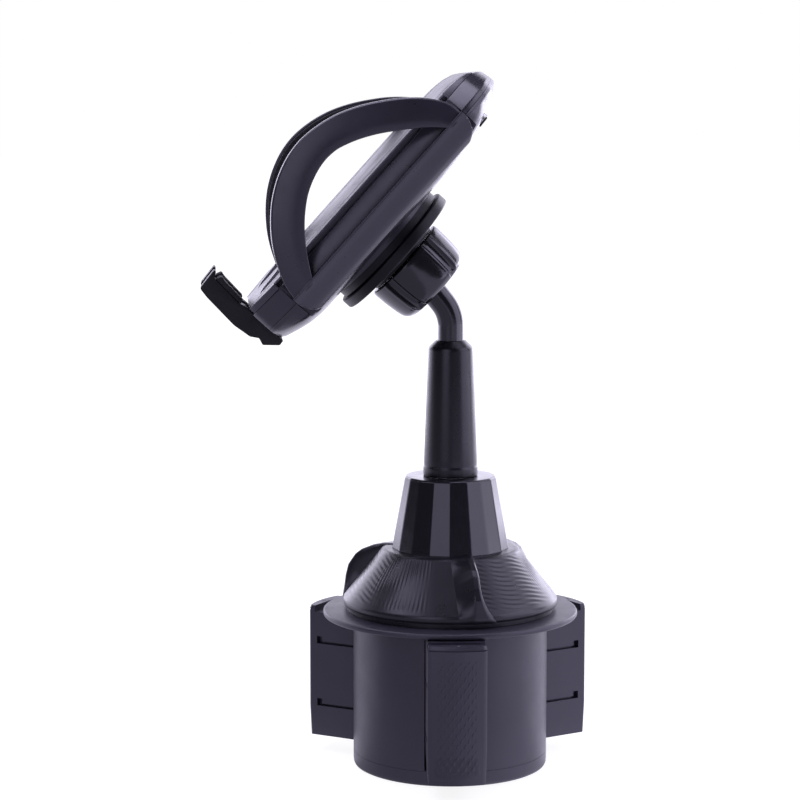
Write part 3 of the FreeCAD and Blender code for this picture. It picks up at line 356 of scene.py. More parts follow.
def wing():
    """Slide: curved front, guide grooves with end pockets on its sides, a lip line and a step at its top."""
    ys = np.linspace(-WING_W + 0.6, WING_W - 0.6, 25)
    front = [(float(face_x(y)), y) for y in ys]
    side = [float(face_x(WING_W)) - 0.45, POCKET_END + 0.03, POCKET_END - 0.02, GROOVE_END, GROOVE_END - 0.05,
            31.0, 26.0]
    lip_at, lip_half = 50.0, 0.22
    # a level just before and just after each height where the outline changes
    levels = {WING_Z0, WING_Z1, 49.75, 49.8, 50.2, 50.25}
    for z in (WING_Z0 + h for lines in GROOVES.values() for h in lines):
        levels |= {z - 0.45, z - 0.4, z + 0.4, z + 0.45, z + 2.1, z + 2.15}
    rows = []
    for z in sorted(levels):
        inset = 0.35 if z in (WING_Z0, WING_Z1) else 0.0
        lip = 0.5 if abs(z - lip_at) < lip_half else 0.0
        flanks = {s: [(x - inset if x > 40 else x, s * (wing_side(x, z, s) - inset), z) for x in side]
                  for s in (1, -1)}
        head = [(x - inset - lip, y * (1 - inset / WING_W), z) for x, y in front]
        rows.append(flanks[1] + flanks[-1][::-1] + head)
    step_behind_lip = block(44.4, 47.8, -12, 12, 49.2, 53)
    return combine(tidy(loft(rows)), [pad_slab(), step_behind_lip], "DIFFERENCE")


def wing_side(x, z, side):
    """Half width of a wing at a place on one of its sides, less the groove or the pocket there."""
    y = WING_W
    for h in GROOVES[side]:
        above = z - WING_Z0 - h
        if abs(above) < GROOVE_HALF and x <= GROOVE_END:
            y = WING_W - GROOVE_DEEP
        if -GROOVE_HALF < above < POCKET_TOP and GROOVE_END - 0.03 < x < POCKET_END:
            y = WING_W - POCKET_DEEP
    return y


def pad_slab():
    """The pocket for the pad in the wing's front, as a curved slab."""
    half, z0, z1 = PAD_HALF + PAD_GAP, PAD_Z0 - PAD_GAP, PAD_Z1 + PAD_GAP
    loop = soften([(-half, z0), (half, z0), (half, z1), (-half, z1)], 2.8, 8)
    dense = []
    for a, b in zip(loop, np.roll(loop, -1, axis=0)):
        n = max(1, int(np.linalg.norm(b - a) / 1.2))
        dense += [a + (b - a) * k / n for k in range(n)]
    dense = np.array(dense)
    rings = [np.c_[face_x(dense[:, 0], 0.8), dense], np.c_[face_x(dense[:, 0], -1.0), dense]]
    return tidy(loft(rings))


def rounded_grid(half_y, half_z, corner, ny, nz):
    """A grid of (y, z) that fills a rounded rectangle round the origin."""
    s, t = np.meshgrid(np.linspace(-1, 1, ny), np.linspace(-1, 1, nz), indexing="ij")
    y, z = s * half_y, t * half_z
    over_y = np.maximum(np.abs(y) - (half_y - corner), 0)
    over_z = np.maximum(np.abs(z) - (half_z - corner), 0)
    far = np.hypot(over_y, over_z)
    k = np.where(far > 0, np.maximum(over_y, over_z) / np.maximum(far, 1e-9), 1.0)
    return (np.sign(y) * (np.minimum(np.abs(y), half_y - corner) + over_y * k),
            np.sign(z) * (np.minimum(np.abs(z), half_z - corner) + over_z * k))


def pad_relief(y, z):
    """How far the pad's skin stands out: staggered dashes inside a smooth border, and a finger notch."""
    dash_y, dash_z, border = 1.25, 1.85, 1.2
    middle, half_z = (PAD_Z0 + PAD_Z1) / 2, (PAD_Z1 - PAD_Z0) / 2
    edge = np.minimum(PAD_HALF - np.abs(y), half_z - np.abs(z - middle))
    row = np.round(z / dash_z)
    off = (y / dash_y - row) % 2 - 1
    dy, dz = (np.abs(off) - 1) * dash_y * np.sign(off), z - row * dash_z
    dashes = np.exp(-((dy - 0.25 * dz) / 0.36) ** 4 - (dz / 0.72) ** 4)
    inside = np.clip((edge - border) / 0.5, 0, 1)
    notch = np.clip(1.9 - np.hypot(y / 2.2, (z - PAD_Z1 - 0.2) / 0.9), 0, 1)
    return -0.05 + 0.20 * dashes * inside - 1.1 * notch - 0.45 * np.exp(-edge / 0.3)


def wing_pad():
    """Rubber pad on the wing's curved front."""
    ny, nz = 88, 216
    middle, half_z = (PAD_Z0 + PAD_Z1) / 2, (PAD_Z1 - PAD_Z0) / 2
    y, z = rounded_grid(PAD_HALF, half_z, 2.5, ny, nz)
    z = middle + z
    top = np.stack([face_x(y) + pad_relief(y, z), y, z], -1)
    back = np.stack([face_x(y, 0.75), y, z], -1)
    pts = np.concatenate([top.reshape(-1, 3), back.reshape(-1, 3)])
    n = ny * nz
    faces = []
    for i in range(ny - 1):
        for j in range(nz - 1):
            q = (i * nz + j, (i + 1) * nz + j, (i + 1) * nz + j + 1, i * nz + j + 1)
            faces += [q, tuple(n + v for v in q[::-1])]
    ring = ([i * nz for i in range(ny)] + [(ny - 1) * nz + j for j in range(1, nz)]
            + [i * nz + nz - 1 for i in range(ny - 2, -1, -1)] + [j for j in range(nz - 2, 0, -1)])
    for p, q in zip(ring, ring[1:] + ring[:1]):
        faces.append((p, q, n + q, n + p))
    return pts, faces


wing_mesh, pad_mesh = wing(), wing_pad()
arrow = tidy(loft([np.c_[[[49.0, -1.0], [49.0, 1.0], [50.6, 0.0]], [WING_Z1 - 0.02] * 3],
                   np.c_[[[49.2, -0.8], [49.2, 0.8], [50.4, 0.0]], [WING_Z1 + 0.12] * 3]]))
for i in range(3):
    at = to_wing(i)
    body = "wing_%d" % (i + 1)
    piece("wing_look_%d" % (i + 1), joined(wing_mesh, arrow), at, body, BASE,
          ["wing_shell_%d" % (i + 1)])
    piece("wing_pad_look_%d" % (i + 1), pad_mesh, at, body, WING_RUBBER,
          ["wing_pad_%d" % (i + 1)], 60)

# ---------------------------------------------------------------- dial
FIN_FIRST = math.radians(7.0)
SECTOR = 2 * math.pi / 3
CONE = np.array([(20.4, 74.9), (22.3, 74.75), (23.2, 74.3), (36.2, 57.9), (36.4, 57.2), (36.4, 56.0),
                 (36.1, 55.5)])
FIN = np.array([(20.4, 75.3), (23.5, 75.1), (27.2, 74.2), (31.5, 72.4), (33.7, 70.7), (35.1, 68.7),
                (36.3, 66.9), (37.1, 63.3), (37.4, 58.5), (37.5, 57.0), (37.3, 55.9), (36.9, 55.5)])
FIN_HALF, FIN_FOOT = 3.2, 5.0           # to the right of a fin's middle, and to its left
RIB_TALL, RIB_OUT, RIB_UP = 0.075, 0.78, 0.62      # height of the fine ribs, and their way off the cone


def along(path, count):
    """A (radius, height) path sampled evenly along its length."""
    d = np.r_[0, np.cumsum(np.linalg.norm(np.diff(path, axis=0), axis=1))]
    want = np.linspace(0, d[-1], count)
    return np.stack([np.interp(want, d, path[:, i]) for i in range(2)], 1)


def ribs(a, s):
    """Height of the fine wavy ribs that cover the cone, by angle past a fin and place down the cone."""
    turn = (a - FIN_FIRST) % SECTOR
    right = 1 / (1 + np.exp((turn - 0.95) / 0.05))
    level = np.sin(2 * math.pi * (15.0 * s - 3.4 * turn + 0.22 * np.sin(11 * turn)))
    lean = turn * 21.5 - 1.5 * s + 0.25 * np.sin(5.0 * s + 6 * turn)
    tall = np.sin(2 * math.pi * lean) * (0.55 + 0.45 * np.sin(9 * s + 4.2 * turn))
    skin = right * level + (1 - right) * tall
    calm = np.clip((SECTOR - 0.42 - turn) / 0.12, 0, 1)
    ends = np.clip((s - 0.10) / 0.06, 0, 1) * np.clip((0.86 - s) / 0.05, 0, 1)
    return skin * calm * ends


def flared(s):
    """A fin's width right of its middle: narrow at the top and spreading over the lower part of the cone."""
    return FIN_HALF * (1 + 1.5 * np.clip((s - 0.60) / 0.40, 0, 1) ** 1.6)


def fin_rise(d):
    """How far a fin stands up, from 0 to 1: a long slope on its left and a rounded drop on its right."""
    if d < 0.5:
        return np.clip((d + 1) / 1.05, 0, 1) ** 1.05
    return np.sqrt(np.clip(1 - ((d - 0.5) / 0.5) ** 2.4, 0, 1))


def dial():
    """Ribbed cone with three grip fins, as radial sections that are closed through its hollow inside."""
    down = 84
    cone, fin = along(CONE, down), along(FIN, down)
    hollow = np.array([(34.1, 55.5), (34.1, 57.5), (31.4, 57.5), (19.0, 71.7), (12.05, 71.7), (12.05, 74.9)])
    s = np.linspace(0, 1, down)
    rows = []
    for k in range(3):
        start = FIN_FIRST + k * SECTOR
        for d in np.sin(np.linspace(-math.pi / 2, math.pi / 2, 41)):
            half = flared(s) if d > 0 else FIN_FOOT
            w = fin_rise(d)
            p = cone * (1 - w) + fin * w
            a = start + np.arcsin(np.clip(d * half / p[:, 0], -1, 1))
            rows.append(np.stack([p[:, 0] * np.cos(a), p[:, 0] * np.sin(a), p[:, 1]], 1))
        for f in np.linspace(0, 1, 190)[1:-1]:
            a0 = start + np.arcsin(flared(s) / cone[:, 0])
            a1 = start + SECTOR - np.arcsin(FIN_FOOT / cone[:, 0])
            a = a0 + (a1 - a0) * f
            fade = np.clip(f / 0.03, 0, 1) * np.clip((1 - f) / 0.03, 0, 1)
            h = RIB_TALL * ribs(a, s) * fade
            r, z = cone[:, 0] + RIB_OUT * h, cone[:, 1] + RIB_UP * h
            rows.append(np.stack([r * np.cos(a), r * np.sin(a), z], 1))
    full = []
    for row in rows:
        a = math.atan2(row[-1, 1], row[-1, 0])
        tail = np.stack([hollow[:, 0] * math.cos(a), hollow[:, 0] * math.sin(a), hollow[:, 1]], 1)
        full.append(np.concatenate([row, tail]))
    return loft(full, wrap=True)


piece("dial_look", dial(), to_base, "dial", DIAL, ["dial"], 40)

# ---------------------------------------------------------------- collar and neck
FACETS, FIRST_CORNER = 18, math.radians(-5.5)
FACETS_FROM = 14.0                      # what lies nearer the axis stays round


def facet_warp(r, z, a):
    """Flat facets with slightly eased corners."""
    step = 2 * math.pi / FACETS
    t = (a - FIRST_CORNER) % step - step / 2
    flat = math.cos(step / 2) / math.cos(t)
    ease = 1 - 0.0035 * max(0, (abs(t) / (step / 2) - 0.9) / 0.1) ** 2
    return np.where(r > FACETS_FROM, r * flat * ease, r)


def collar():
    """Faceted nut, tapering upwards, with a stepped bore."""
    outline = [(12.05, 74.3), (19.7, 74.3), (20.0, 74.8), (15.62, 98.9), (15.1, 99.4), (7.6, 99.4),
               (7.6, 93.5), (12.05, 93.5)]
    return turned(soften(outline, (0.2, 0.25, 0.4, 0.35, 0.3, 0.3, 0.2, 0.2)), FACETS * 16, facet_warp)


def sleeve():
    """Tapered neck with a ring at its foot and a rounded top round the arm."""
    outline = [(0.01, 99.5), (9.2, 99.5), (9.2, 102.5), (8.98, 102.9), (8.98, 104.9), (7.5, 142.9),
               (5.0, 145.3), (4.4, 145.3), (4.4, 140), (0.01, 140)]
    return turned(soften(outline, (0, 0.5, 0.35, 0.2, 0.6, 0.9, 0.35, 0.1, 0, 0), 5), 128)


def bent_arm():
    """Round bar, bent once, that swells into the ball at its end."""
    r, ball = 4.35, 8.5
    stops = [(0.0, z, 0.0, r) for z in np.linspace(136, BEND_Z, 8)]
    for a in np.linspace(0, BEND, 22)[1:]:
        stops.append((-BEND_R * (1 - math.cos(a)), BEND_Z + BEND_R * math.sin(a), a, r))
    y0, z0 = stops[-1][:2]
    beyond = [(d, r) for d in np.linspace(0, PAST_BEND - math.sqrt(ball ** 2 - r ** 2), 6)[1:]]
    for t in np.linspace(math.asin(r / ball), math.pi - 0.02, 26)[1:]:
        beyond.append((PAST_BEND - ball * math.cos(t), ball * math.sin(t)))
    stops += [(y0 - d * math.sin(BEND), z0 + d * math.cos(BEND), BEND, size) for d, size in beyond]
    t = np.linspace(0, 2 * math.pi, 64, endpoint=False)
    rows = []
    for y, z, a, size in stops:
        side, out = size * np.cos(t), size * np.sin(t)
        rows.append(np.stack([side, y + out * math.cos(a), z + out * math.sin(a)], 1))
    return tidy(loft(rows))


piece("collar_look", collar(), to_base, "lock_collar", COLLAR, ["lock_collar"], 12)
piece("sleeve_look", sleeve(), to_base, "neck", NECK, ["neck_sleeve"])
piece("arm_tube", bent_arm(), to_base, "neck", JOINT, ["bent_arm"])

# ---------------------------------------------------------------- ball joint
GROOVE_COUNT, FIRST_GROOVE = 5, math.radians(36.0)
NUT_R = 15.3


def nut_warp(r, z, a):
    """Five thumb grooves with a low lip on both sides of each."""
    step = 2 * math.pi / GROOVE_COUNT
    t = (a - FIRST_GROOVE + step / 2) % step - step / 2
    arc = abs(t) * NUT_R
    dip = 1.65 * max(0.0, 1 - (arc / 2.15) ** 2) ** 0.5 - 0.12 * math.exp(-((arc - 2.6) / 0.35) ** 2)
    reach = np.clip((r - 12.4) / 1.6, 0, 1)
    return r - dip * reach


def nut():
    """Clamping nut with a barrelled outside and a stepped bore."""
    outline = [(11.55, 6.9), (11.55, -0.25), (9.8, -0.25), (9.8, -4.2), (10.6, -8.1), (12.0, -8.1),
               (14.1, -6.4), (14.75, -3.6), (15.2, 1.5), (NUT_R, 5.6), (15.1, 6.9)]
    return turned(soften(outline, (0.2, 0.2, 0.2, 0.3, 0.5, 0.9, 2.2, 2.4, 1.5, 0.6, 0.5), 5), 300, nut_warp)


def disc():
    """Thick round back plate behind the nut, stepped in towards the housing."""
    outline = [(8.0, 7.2), (13.5, 7.2), (13.5, 9.3), (24.0, 9.3), (24.0, 12.9), (22.4, 13.2), (22.4, 15.8),
               (8.0, 15.8)]
    return turned(soften(outline, (0, 0.3, 0.4, 0.7, 0.5, 0.3, 0.1, 0), 5), 160)


piece("nut_look", nut(), to_joint, "ball_nut", JOINT, ["ball_nut"], 50)
piece("disc_look", disc(), to_joint, "cradle", DISC, ["socket_disc"])

# ---------------------------------------------------------------- housing
SEAM, FRONT, WALL = 26.5, 36.0, 2.0     # where the two halves meet, the face plate's front, wall thickness
END_U0, END_U1 = -46.8, 62.4            # the housing's lower and upper end
ARM_U0, ARM_U1 = -34.0, 46.6            # the arms' lower and upper end
TONGUES = ((26, 37), (-27, -17))        # where the arms' tongues run into the housing
RACK_N0, RACK_N1 = 20.6, 25.6           # back and front of the racks and tongues
SCREWS = ((22, 50), (-22, 50), (24, -33), (-24, -33))
STATIONS = np.array([                   # place along the phone, half width, back, front
    (-46.8, 25.6, 20.2, 33.6), (-46.2, 26.8, 19.6, 33.8), (-44.0, 28.6, 18.8, 33.8),
    (-40.5, 31.2, 17.6, 33.8), (-36.5, 33.8, 16.5, 33.8), (-31.5, 35.6, 15.9, 33.8),
    (-27.0, 36.0, 15.8, 33.8), (26.0, 36.0, 15.8, 33.8), (36.0, 36.0, 16.4, 33.8),
    (44.0, 36.0, 17.5, 33.8), (48.5, 35.6, 18.3, 33.8), (52.0, 34.2, 19.3, 33.8), (55.5, 31.6, 20.8, 33.6),
    (58.8, 27.0, 21.9, 32.8), (61.0, 21.0, 23.0, 31.4), (62.4, 13.0, 24.0, 29.6)])


def station(u):
    """Half width, back and front of the housing at a place along it, smoothed between the stations."""
    fine = np.linspace(STATIONS[0, 0], STATIONS[-1, 0], 500)
    cols = []
    for i in (1, 2, 3):
        v = np.interp(fine, STATIONS[:, 0], STATIONS[:, i])
        k = np.exp(-np.linspace(-2, 2, 19) ** 2)
        ext = np.r_[2 * v[0] - v[9:0:-1], v, 2 * v[-1] - v[-2:-11:-1]]
        cols.append(np.interp(u, fine, np.convolve(ext, k / k.sum(), "valid")))
    return cols


def bevel(u):
    """Width of the front bevel: steep at the foot's end, wide everywhere else."""
    return float(np.interp(u, (-33, -31), (1.4, 5.3)))


def section(u, inset=0.0):
    """Right half of the cross section from the middle of the front to the middle of the back."""
    half, rear, front = station(u)
    w, back, face = half - inset, min(rear + inset, 24.0), front - 0.8 * inset
    rise = min(4.4, 24.6 - back)
    corners = [(0, face), (w - bevel(u), face), (w, min(face - 3.0, 28.2)), (w - 0.5, 25.2),
               (w - 2.4, back + rise), (w - 7.0, back + 0.55 * rise), (w * 0.22, back), (0, back)]
    return soften(corners, (0, 0.5, 0.45, 0.8, 1.6, 5.0, 6.0, 0), 6, closed=False)


def band(u, low, high, inset, core):
    """The part of a cross section between two heights, as a loop; core narrows it beside the arms."""
    half = section(u, inset)
    if ARM_U0 - 0.25 < u < ARM_U1 + 0.25:
        half = np.c_[np.minimum(half[:, 0], core), half[:, 1]]
    n = np.clip(half[:, 1], low, high)
    right = np.c_[half[:, 0], n]
    loop = np.concatenate([right, right[::-1] * [-1, 1]])
    return np.c_[loop[:, 0], np.full(len(loop), u), loop[:, 1]]


def shell(low, high, core, floor_low, floor_high):
    """A housing half as its outer skin and the room inside it, to be cut out."""
    us = sorted(set(np.round(np.concatenate([np.linspace(END_U0, END_U1, 110), np.linspace(END_U0, -44, 12),
                                             np.linspace(56, END_U1, 26)]), 3))
                | {ARM_U0 - 0.27, ARM_U0 - 0.23, ARM_U1 + 0.23, ARM_U1 + 0.27})
    outer = tidy(loft([band(u, low, high, 0.0, core) for u in us]))
    inside = [u for u in us if END_U0 + WALL < u < END_U1 - 2.2]
    room = tidy(loft([band(u, floor_low, floor_high, WALL, core - 1.8) for u in inside]))
    return outer, room


def rear_housing():
    """Back half, with a ledge round the disc, the button's slot, windows for the racks, and screw holes."""
    outer, room = shell(0, SEAM, 31.0, 0, SEAM + 1)
    ledge = turned([(19.0, 15.8), (22.3, 15.8), (22.3, 18.5), (19.0, 18.5)], 140)
    body = combine(outer, [moved(ledge, 0, -SOCKET_DROP)], "UNION")
    button_slot = block(-6.3, 6.3, 48.5, 55.8, 0, 24)
    tools = [room, button_slot]
    slack = 0.3
    n0, n1 = RACK_N0 - slack, RACK_N1 + slack
    for side in (1, -1):
        rack_at = tuple(sorted((side * 5.0, side * 12.0)))
        for lo, hi in TONGUES + (rack_at,):
            tools.append(block(side * 25, side * 40, lo - slack, hi + slack, n0, n1))
    screw_hole = turned([(0.01, 0), (2.6, 0), (2.6, 21.5), (0.01, 21.5)], 32)
    tools += [moved(screw_hole, x, u) for x, u in SCREWS]
    return combine(body, tools, "DIFFERENCE")


def front_cover():
    """Front half, open at the foot's slot."""
    outer, room = shell(SEAM, 60, 32.6, SEAM - 1, 31.8)
    foot_slot = block(-13.9, 13.9, -60, -40, SEAM - 1, 30.5)
    return combine(outer, [room, foot_slot], "DIFFERENCE")


piece("rear_look", rear_housing(), to_cradle, "cradle", CRADLE, ["rear_housing"])
piece("cover_look", front_cover(), to_cradle, "cradle", CRADLE, ["front_cover"])


def front_plate():
    """Face plate: it meets the housing's bevel at both ends, and stands over a shadow gap beside the arms.

    It has two grooves along each side, and a low wedge on each side near its lower end.
    """
    us = np.unique(np.round(np.concatenate([np.linspace(-46, 59.0, 124), np.linspace(54, 59.0, 30),
                                            np.linspace(-41.5, -29.5, 30), [46.8, 47.2, -34.2, -34.6]]), 3))
    rows = []
    for u in us:
        top = FRONT - float(np.interp(u, (48, 51, 54, 57.3, 59.0), (0, 0.25, 0.75, 1.8, 3.0)))
        foot = station(u)[2] + 0.02
        top = max(top, foot + 0.3)
        low = station(u)[0] - bevel(u)
        beside = -34.4 < u < 47.0
        w = 30.7 if beside else low - (0.55 if u > 0 else 0.2) * (top - foot)
        wedge = top + float(np.interp(u, (-41.0, -38.5, -31.0, -30.2), (0, 0.5, 0.95, 0)))
        edge = [(w - 0.5, top), (w, top - 0.45), (w - 0.1, top - 0.85), (w - 1.3, top - 0.95),
                (w - 1.5, foot)]
        if not beside:
            edge = [(w - 0.9, top), (w - 0.5, top - 0.03), (w - 0.1, top - 0.2), (low, foot + 0.02),
                    (low - 0.05, foot)]
        half = [(0, top), (11.4, top), (11.5, wedge), (15.5, wedge), (15.6, top), (21.4, top),
                (21.7, top - 0.45), (22.5, top - 0.45), (22.8, top), (26.2, top), (26.4, top - 0.3),
                (26.9, top - 0.3), (27.1, top)]
        half = [(min(x, w - 1.4), n if x < w - 2.0 else top) for x, n in half] + edge
        right = soften(half, 0.12, 2, closed=False)
        loop = np.concatenate([right, right[::-1] * [-1, 1]])
        rows.append(np.c_[loop[:, 0], np.full(len(loop), u), loop[:, 1]])
    return tidy(loft(rows))


piece("plate_look", front_plate(), to_cradle, "cradle", FACE, ["front_plate"], 28)

# ---------------------------------------------------------------- clamp arms
# the loop's two side lines, as (along the phone, out of its screen)
OUTER = [(-34.0, 27.0), (-32.6, 33.0), (-29.9, 38.4), (-25.4, 45.0), (-20.6, 50.0), (-14.5, 54.7),
         (-7.5, 58.2), (0, 60.2), (5.5, 60.5), (12.0, 59.6), (19.6, 57.2), (26.2, 53.7), (32.5, 49.2),
         (38.0, 44.4), (43.2, 38.2), (46.2, 32.2), (46.6, 27.0)]
INNER = [(-25.6, 27.0), (-22.6, 31.2), (-17.0, 38.2), (-11.0, 43.6), (-5.0, 47.4), (0.2, 49.3), (5.5, 50.2),
         (10.6, 49.8), (15.6, 47.9), (22.2, 44.1), (29.2, 38.6), (35.6, 32.8), (40.4, 27.0)]
ARM_IN, ARM_OUT = 33.2, 37.4            # inner and outer face, from the middle of the phone


def loop_band():
    """The D-shaped loop: a flat band with rounded rims between two domes."""
    outer, inner = curve_through(OUTER, 110), curve_through(INNER, 110)
    rows = []
    for o, i in zip(outer, inner):
        thick = np.linalg.norm(o - i)
        way = (o - i) / thick
        face = soften([(ARM_IN, 0), (ARM_OUT - 0.1, 0), (ARM_OUT, 0.35 * thick), (ARM_OUT - 1.4, thick - 0.2),
                       (ARM_IN, thick)], (0.5, 0.5, 4.0, 0.9, 0.8), 7)
        at = i + face[:, 1:] * way
        rows.append(np.c_[face[:, 0], at])
    return tidy(loft(rows))


# how the bar's back rounds up at its lower and upper end, as (distance from that end, back)
BAR_END = [(0, 26.0), (0.5, 23.8), (1.4, 21.8), (2.8, 20.1), (4.6, 19.2)]
BAR_TOP = [(5.6, 19.2), (3.4, 20.2), (1.8, 21.8), (0.6, 23.9), (0, 26.0)]


def bar_section(u):
    """Side bar of the arm, cut across: a convex outer band below a crease, with rounded ends."""
    ends = [(ARM_U0 + d, back) for d, back in BAR_END] + [(ARM_U1 - d, back) for d, back in BAR_TOP]
    low = float(np.interp(u, *zip(*ends)))
    pts = [(31.25, 19.4), (32.6, 19.2), (35.3, 21.4), (36.0, 24.2), (36.5, 26.0), (37.4, 27.6), (37.4, 28.4),
           (33.2, 28.4), (33.2, 26.9), (31.25, 26.9)]
    loop = soften(pts, (0.3, 0.9, 1.6, 1.3, 0.6, 0.4, 0.3, 0.3, 0.2, 0.3), 4)
    return np.c_[loop[:, 0], np.full(len(loop), u), np.maximum(loop[:, 1], low)]


def arm_mesh(rack_side):
    """One clamp arm: side bar, two tongues and a rack, joined to the loop."""
    us = np.r_[np.linspace(ARM_U0, ARM_U0 + 5, 14), np.linspace(ARM_U0 + 6, ARM_U1 - 6.5, 40),
               np.linspace(ARM_U1 - 5.8, ARM_U1, 14)]
    parts = [tidy(loft([bar_section(u) for u in us]))]
    for lo, hi in TONGUES:
        parts.append(tidy(block(7.0, 32.5, lo, hi, RACK_N0, RACK_N1), 0.3))
    parts.append(rack(rack_side))
    return combine(loop_band(), parts, "UNION")


def rack(side):
    """Toothed rail that reaches past the pinion. side is 1 or -1: the side of the pinion that it runs on."""
    start, end, back, root, pitch_line, tip = -19.5, 32.5, 12.0, 7.15, 6.0, 5.2
    pitch, slope = math.pi, math.tan(math.radians(20))
    half = pitch / 4 - 0.06
    wide, narrow = half + (root - pitch_line) * slope, half - (pitch_line - tip) * slope
    pts = [(start, back), (start, root)]
    for c in (pitch * (k + 0.5) for k in range(-6, 10)):
        if start <= c - pitch / 2 and c + pitch / 2 <= end:
            pts += [(c - wide, root), (c - narrow, tip), (c + narrow, tip), (c + wide, root)]
    pts += [(end, root), (end, back)]
    o = np.array(pts) * [1, side]
    return loft([np.c_[o, np.full(len(o), n)] for n in (RACK_N0, RACK_N1)])


def arm_lining():
    """Rubber lining on the inner face of the loop, with fine grip ribs."""
    outer, inner = curve_through(OUTER, 260), curve_through(INNER, 260)
    rows = []
    for k, (o, i) in enumerate(zip(outer, inner)):
        thick = np.linalg.norm(o - i)
        way = (o - i) / thick
        lo, hi = 0.9, thick - 1.0
        if min(i[1] + lo * way[1], o[1]) < FRONT + 1.4:
            continue
        proud = 0.15 if k % 5 < 2 else 0.0
        near, far = 31.25 - proud, 33.25
        face = soften([(near, lo), (far, lo), (far, hi), (near, hi)], (0.5, 0, 0, 0.5), 3)
        rows.append(np.c_[face[:, 0], i + face[:, 1:] * way])
    return tidy(loft(rows))


lining = arm_lining()
piece("arm_right_look", arm_mesh(1), to_cradle, "arm_right", CRADLE, ["arm_right"])
piece("arm_left_look", mirrored(arm_mesh(-1)), to_cradle, "arm_left", CRADLE, ["arm_left"])
piece("lining_right", lining, to_cradle, "arm_right", RUBBER, ["arm_pad_right"])
piece("lining_left", mirrored(lining), to_cradle, "arm_left", RUBBER, ["arm_pad_left"])

# ---------------------------------------------------------------- foot and release button
# side outlines, as (along the phone, out of its screen)
SIDE = [(-47.1, 19.9), (-49.0, 19.7), (-52.7, 24.0), (-51.8, 26.4), (-53.4, 29.0), (-53.7, 32.2),
        (-47.1, 33.2)]
PRONG = [(-47.1, 30.0), (-46.9, 37.2), (-47.6, 38.4), (-46.8, 50.4), (-44.9, 51.2), (-44.7, 52.3),
         (-52.4, 51.8), (-53.1, 48.1), (-54.1, 35.4), (-53.4, 29.0)]
PAD = [(-47.5, 38.6), (-46.75, 49.9), (-44.7, 49.0), (-45.2, 47.2), (-46.0, 38.2)]


def foot():
    """Lower support: a tongue in the housing, the part across its end, and two prongs."""
    half, gap = 13.5, 5.6
    parts = [tidy(prism(soften(SIDE, 0.35, 3), -half, half), 0.3)]
    for x0, x1 in ((gap, half), (-half, -gap)):
        parts.append(tidy(prism(soften(PRONG, 0.8, 3), x0, x1), 0.5))
    tongue = tidy(block(-half, half, -47.4, -22.0, 27.2, 30.2), 0.3)
    return combine(tongue, parts, "UNION")


def foot_pads():
    """Rubber on the inner face of both prongs."""
    outline = soften(PAD, 0.4, 2)
    return joined(*[tidy(prism(outline, x0, x1), 0.3) for x0, x1 in ((5.7, 13.4), (-13.4, -5.7))])


piece("foot_look", foot(), to_cradle, "foot", FOOT, ["foot"])
piece("foot_pad_look", foot_pads(), to_cradle, "foot", RUBBER, ["foot_pads"])


# the coil lies along the phone; the real one shortens as the button is pushed up, but this one keeps its
# length
SPRING_END, SPRING_LENGTH, SPRING_N, BUTTON_TRAVEL = 57.15, 4.1, 25.8, 2.5


def release_spring():
    """Small coil behind the button, along the cradle."""
    turns, ring, wire, steps = 5, 0.95, 0.22, 24
    t = np.linspace(0, 2 * math.pi, 10, endpoint=False)
    r = ring + wire * np.cos(t)
    rows = []
    for k in range(turns * steps + 1):
        a = 2 * math.pi * k / steps
        u = SPRING_END - SPRING_LENGTH + wire + (SPRING_LENGTH - 2 * wire) * k / (turns * steps)
        rows.append(np.stack([r * math.cos(a), u + wire * np.sin(t), SPRING_N + r * math.sin(a)], 1))
    return tidy(loft(rows))


coil = piece("release_spring_look", release_spring(), to_cradle, "cradle", STEEL,
             ["release_spring"], 60)
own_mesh(coil)

# ---------------------------------------------------------------- stage, light and camera
def plain(name, colour, glow, tint=(1, 1, 1)):
    """Flat paper that can glow; it is only ever stage."""
    mat = bpy.data.materials.new(name)
    mat.use_nodes = True
    s = mat.node_tree.nodes["Principled BSDF"]
    s.inputs["Base Color"].default_value = (*colour, 1)
    s.inputs["Roughness"].default_value = 0.9
    s.inputs["Specular IOR Level"].default_value = 0.1
    s.inputs["Emission Color"].default_value = (*tint, 1)
    s.inputs["Emission Strength"].default_value = glow
    return mat


def sheet(name, corners, material):
    """A four-cornered piece of the stage."""
    me = bpy.data.meshes.new(name)
    me.from_pydata(corners, [], [(0, 1, 2, 3)])
    me.materials.append(material)
    obj = bpy.data.objects.new(name, me)
    bpy.context.scene.collection.objects.link(obj)
    return obj


def square(half, z):
    return [(-half, -half, z), (half, -half, z), (half, half, z), (-half, half, z)]


BLACK = (0.0, 0.0, 0.0)
floor = sheet("floor", square(1.3, 0), plain("floor_paper", (0.25, 0.25, 0.25), 0.86))
far_floor = sheet("far_floor", square(8, -0.002), plain("far_floor_paper", BLACK, 1.1))
for part in (floor, far_floor):
    part.visible_glossy = part.visible_diffuse = False
bm = bmesh.new()
bmesh.ops.create_icosphere(bm, subdivisions=4, radius=9)
dome_mesh = bpy.data.meshes.new("backdrop")
bm.to_mesh(dome_mesh)
bm.free()
dome_mesh.materials.append(plain("backdrop_paper", BLACK, 1.0))
dome = bpy.data.objects.new("backdrop", dome_mesh)
bpy.context.scene.collection.objects.link(dome)
dome.visible_glossy = dome.visible_diffuse = dome.visible_shadow = False

world = bpy.data.worlds.new("studio")
bpy.context.scene.world = world
world.use_nodes = True
world.node_tree.nodes["Background"].inputs["Color"].default_value = (0.9, 0.88, 1.0, 1)
world.node_tree.nodes["Background"].inputs["Strength"].default_value = 0.10
bpy.context.scene.view_settings.view_transform = "Standard"

